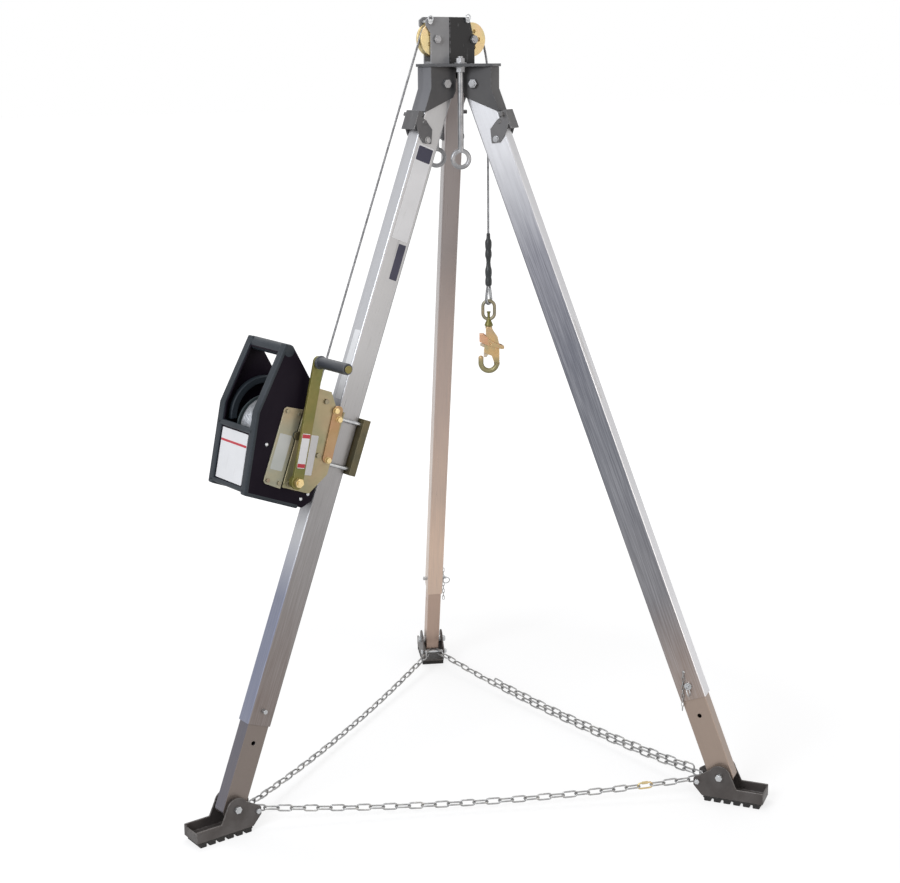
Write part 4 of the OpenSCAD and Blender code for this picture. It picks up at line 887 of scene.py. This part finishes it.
half = (links - 1) // 2
chain(1, 2, 1)
coupler_place = chain(2, 1, -1)
chain(2, 3, 1, range(1, half + 1))
chain(3, 2, -1, range(half - 1 - TAIL_LINKS, half))
chain(3, 1, 1)
chain(1, 3, -1)

bm = bmesh.new()
join(bm, link_mesh(link_len, LINK_W, WIRE_D, 10))
nut = bmesh.new()
bmesh.ops.create_cone(nut, cap_ends=True, segments=6, radius1=4.6, radius2=4.6, depth=16)
soften(nut, 0.6)
join(bm, nut, to_x(0, (LINK_W + WIRE_D) / 2, 0))
for vert in bm.verts:
    vert.co = link_place(COUPLER_AT) @ vert.co
piece("coupling_link", bm, coupler_place, gold_zinc, "chain_2_to_1", ["chain_coupler"], smooth=SMOOTH_TURNED)


# Latch bolts, and the small chains that keep the lock pins

LATCH_N = 6.0
LATCH_S = 164.0
LATCH_OUT = 29.4
LANYARD_S = 1722.0
LANYARD_LINKS = 9
LANYARD_PITCH = 12
LANYARD_LINK = (12.5, 4.4, 1.9)
TUBE_HALF_W = 25.0


for leg in LEGS:
    place = leg_frame(leg)
    bm = bmesh.new()
    turned(bm, [(0, -LATCH_OUT - 3), (4.5, -LATCH_OUT - 3), (5, -LATCH_OUT - 2.5), (5, LATCH_OUT + 2.5),
                (4.5, LATCH_OUT + 3), (0, LATCH_OUT + 3)], 20)
    for vert in bm.verts:
        vert.co = to_y(LATCH_N, 0, -LATCH_S) @ vert.co
    for side in (-1, 1):
        join(bm, bolt_head(16, 4.1, 19), to_y(LATCH_N, side * (LATCH_OUT + 0.3), -LATCH_S, side))
    piece(f"latch_bolt_{leg}", bm, place, grey_zinc, f"leg_{leg}", [f"leg_fittings_{leg}"],
          smooth=SMOOTH_TURNED)
    bm = bmesh.new()
    join(bm, dome(4.5, 3.0), to_y(0, -TUBE_HALF_W, -LANYARD_S, -1))
    wire(bm, [(0, -TUBE_HALF_W - 2, -LANYARD_S), (0, -TUBE_HALF_W - 9, -LANYARD_S)], 1.0, sides=8)
    hang = Matrix.Translation((0, -TUBE_HALF_W - 4, -LANYARD_S)) @ Matrix.Rotation(lean, 4, "Y")
    for k in range(LANYARD_LINKS):
        lie = Matrix.Rotation(math.pi / 2, 4, "Y") @ Matrix.Rotation(math.pi / 2 * (k % 2), 4, "X")
        low = Matrix.Translation((0, -1, -7 - LANYARD_PITCH * k))
        join(bm, link_mesh(*LANYARD_LINK, 6), hang @ low @ lie)
    piece(f"pin_lanyard_{leg}", bm, place, chain_zinc, f"leg_{leg}", smooth=SMOOTH_LINKS)


# Rope end: a shrunk sleeve over two ferrules, and the thimble that it holds

THIMBLE_Z = 78.6
SLEEVE_LOW = 116.1
EYE_TURN = math.radians(52)
SLEEVE_LEN = 152.0
SLEEVE = [(1.0, 6.0), (0.99, 8.2), (0.95, 9.5), (0.88, 9.4), (0.83, 8.3), (0.79, 9.3), (0.70, 9.7),
          (0.66, 8.4), (0.62, 6.9), (0.49, 6.8), (0.46, 8.2), (0.43, 9.4), (0.36, 9.3), (0.31, 8.0),
          (0.27, 8.9), (0.20, 9.6), (0.14, 8.6), (0.10, 5.7), (0.02, 5.3), (0.0, 4.2)]
bm = bmesh.new()
bulges = [(r, SLEEVE_LOW + SLEEVE_LEN * (1 - f)) for f, r in SLEEVE]
turned(bm, [(0, SLEEVE_LOW)] + bulges + [(0, SLEEVE_LOW + SLEEVE_LEN)])
bmesh.ops.subdivide_edges(bm, edges=[e for e in bm.edges if e.calc_length() > 3], cuts=1, use_grid_fill=True,
                          smooth=0.6)
piece("rope_sleeve", bm, hook, sleeve_plastic, "hook_line", ["rope_end"], smooth=SMOOTH_ALL)

bm = bmesh.new()
drop = [(4.0, 0, SLEEVE_LOW + 4), (7.5, 0, SLEEVE_LOW - 8), (12, 0, THIMBLE_Z + 6)]
drop += polar_arc(0, THIMBLE_Z - 2, 13.2, 15, -195, 22)
drop += [(-12, 0, THIMBLE_Z + 6), (-7.5, 0, SLEEVE_LOW - 8), (-4.0, 0, SLEEVE_LOW + 4)]
rope(bm, drop, strands)
eye_place = hook @ Matrix.Rotation(EYE_TURN, 4, "Z")
piece("rope_eye", bm, eye_place, rope_steel, "hook_line", smooth=SMOOTH_ALL)
bm = bmesh.new()
inner = [(x * 0.74, y, THIMBLE_Z - 2 + (z - THIMBLE_Z + 2) * 0.78) for x, y, z in drop]
wire(bm, inner, 2.2, sides=10)
bmesh.ops.scale(bm, vec=(1, 1.9, 1), verts=bm.verts)
piece("rope_thimble", bm, eye_place, bright_zinc, "hook_line", smooth=SMOOTH_ALL)


# Swivel link and snap hook

LINK_Z = 46.5
LINK_HALF_LEN = 26.75
LINK_HALF_W = 16.75
LINK_WIRE = 9.5
straight = LINK_HALF_LEN - LINK_HALF_W
bm = bmesh.new()
link_top = polar_arc(0, LINK_Z + straight, LINK_HALF_W, 0, 180, 18)
link_low = polar_arc(0, LINK_Z - straight, LINK_HALF_W, 180, 360, 18)
wire(bm, link_top + link_low, LINK_WIRE / 2, closed=True, sides=16)
piece("swivel", bm, hook, link_zinc, "hook_line", ["swivel_eye"], smooth=SMOOTH_TURNED)
bm = bmesh.new()
turned(bm, [(0, 42.5), (4.6, 42.5), (6, 41.6), (6, 39.4), (5.2, 38.5), (4, 38.4), (4, 25), (5, 22),
            (7.4, 15), (10.4, 8), (12, 4), (12, 1), (11.2, 0.1), (0, 0.1)], 32)
piece("swivel_stud", bm, hook, crank_zinc, "hook_line", smooth=SMOOTH_TURNED)
dress("hook_body", hook, 1.6, 3, finish=hook_zinc)
dress("hook_gate", hook, 0.8, 3, finish=gate_zinc)
bm = bmesh.new()
slab(bm, [(-11, -58), (-14.6, -70), (-15.2, -86), (-14.6, -91), (-7, -91), (0, -80), (3.5, -68),
          (2.5, -60), (-4, -56.5)], -4.4, 4.4)
soften(bm, 1.4, 3)
piece("gate_web", bm, hook, gate_zinc, "hook_gate")
dress("hook_lever", hook, 1.4, 3, finish=lever_zinc, merge=False)
HOOK_FACE = 8.5
RIBS = 5
RIB_TOP = -52
RIB_PITCH = 6.5
for side, name in ((-1, "front"), (1, "back")):
    bm = bmesh.new()
    for k in range(RIBS):
        rib = card(17 - k, 2.6, 1.6, 1.0)
        soften(rib, 0.5)
        join(bm, rib, on_face((18, side * (HOOK_FACE - 0.5), RIB_TOP - RIB_PITCH * k), (1, 0, 0.14),
                              (0, side, 0)))
    piece(f"hook_ribs_{name}", bm, hook, hook_zinc, "hook")

bpy.data.objects.remove(strands)


# Stage and light

WHITE = (1, 1, 1, 1)
STUDIO_GREY = (0.40, 0.40, 0.41, 1)
FLOOR_GREY = (0.30, 0.30, 0.30, 1)
FLOOR_NEAR = 1.3
FLOOR_FAR = 3.2
FLOOR_GLOW = 0.75
FLOOR_HALF = 60


def seen_by_eye(tree):
    """1 for rays from the camera and for reflections and transmissions."""
    path = tree.nodes.new("ShaderNodeLightPath")
    total = path.outputs["Is Camera Ray"]
    for other in ("Is Glossy Ray", "Is Transmission Ray"):
        node = tree.nodes.new("ShaderNodeMath")
        node.operation = "MAXIMUM"
        tree.links.new(total, node.inputs[0])
        tree.links.new(path.outputs[other], node.inputs[1])
        total = node.outputs["Value"]
    return total


world = bpy.data.worlds.new("studio")
world.use_nodes = True
bpy.context.scene.world = world
tree = world.node_tree
background = tree.nodes["Background"]
mix = tree.nodes.new("ShaderNodeMix")
mix.data_type = "RGBA"
tree.links.new(seen_by_eye(tree), mix.inputs["Factor"])
mix.inputs[6].default_value = STUDIO_GREY
mix.inputs[7].default_value = WHITE
tree.links.new(mix.outputs[2], background.inputs["Color"])

floor_material = bpy.data.materials.new("floor")
floor_material.use_nodes = True
tree = floor_material.node_tree
tree.nodes.remove(tree.nodes["Principled BSDF"])
matt = tree.nodes.new("ShaderNodeBsdfDiffuse")
matt.inputs["Color"].default_value = FLOOR_GREY
glow = tree.nodes.new("ShaderNodeEmission")
glow.inputs["Color"].default_value = WHITE
place = tree.nodes.new("ShaderNodeTexCoord")
reach = tree.nodes.new("ShaderNodeVectorMath")
reach.operation = "LENGTH"
tree.links.new(place.outputs["Object"], reach.inputs[0])
away = tree.nodes.new("ShaderNodeMapRange")
for socket, value in (("From Min", FLOOR_NEAR), ("From Max", FLOOR_FAR), ("To Min", FLOOR_GLOW),
                      ("To Max", 1.0)):
    away.inputs[socket].default_value = value
tree.links.new(reach.outputs["Value"], away.inputs["Value"])
strength = tree.nodes.new("ShaderNodeMath")
strength.operation = "MULTIPLY"
tree.links.new(seen_by_eye(tree), strength.inputs[0])
tree.links.new(away.outputs["Result"], strength.inputs[1])
tree.links.new(strength.outputs["Value"], glow.inputs["Strength"])
both = tree.nodes.new("ShaderNodeAddShader")
tree.links.new(matt.outputs["BSDF"], both.inputs[0])
tree.links.new(glow.outputs["Emission"], both.inputs[1])
tree.links.new(both.outputs["Shader"], tree.nodes["Material Output"].inputs["Surface"])
bm = bmesh.new()
bmesh.ops.create_grid(bm, x_segments=1, y_segments=1, size=FLOOR_HALF)
mesh = bpy.data.meshes.new("floor")
bm.to_mesh(mesh)
bm.free()
mesh.materials.append(floor_material)
floor = bpy.data.objects.new("floor", mesh)
bpy.context.scene.collection.objects.link(floor)
floor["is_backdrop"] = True


def lamp(name, place, target, size, power, colour):
    light = bpy.data.lights.new(name, "AREA")
    light.size = size
    light.energy = power
    light.color = colour
    made = bpy.data.objects.new(name, light)
    made.location = place
    made.rotation_mode = "QUATERNION"
    made.rotation_quaternion = (Vector(target) - Vector(place)).to_track_quat("-Z", "Y")
    bpy.context.scene.collection.objects.link(made)


lamp("key", (-4.2, -1.6, 3.4), (0.1, 0, 1.0), 2.2, 150, (0.93, 0.96, 1.0))
lamp("fill", (1.4, -4.6, 1.6), (0.1, 0, 0.8), 2.5, 50, (1.0, 0.92, 0.85))
lamp("top", (0.4, 1.6, 4.6), (0.1, 0, 1.0), 2.5, 60, (1.0, 1.0, 1.0))

bpy.context.scene.view_settings.view_transform = "Standard"

low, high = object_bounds()
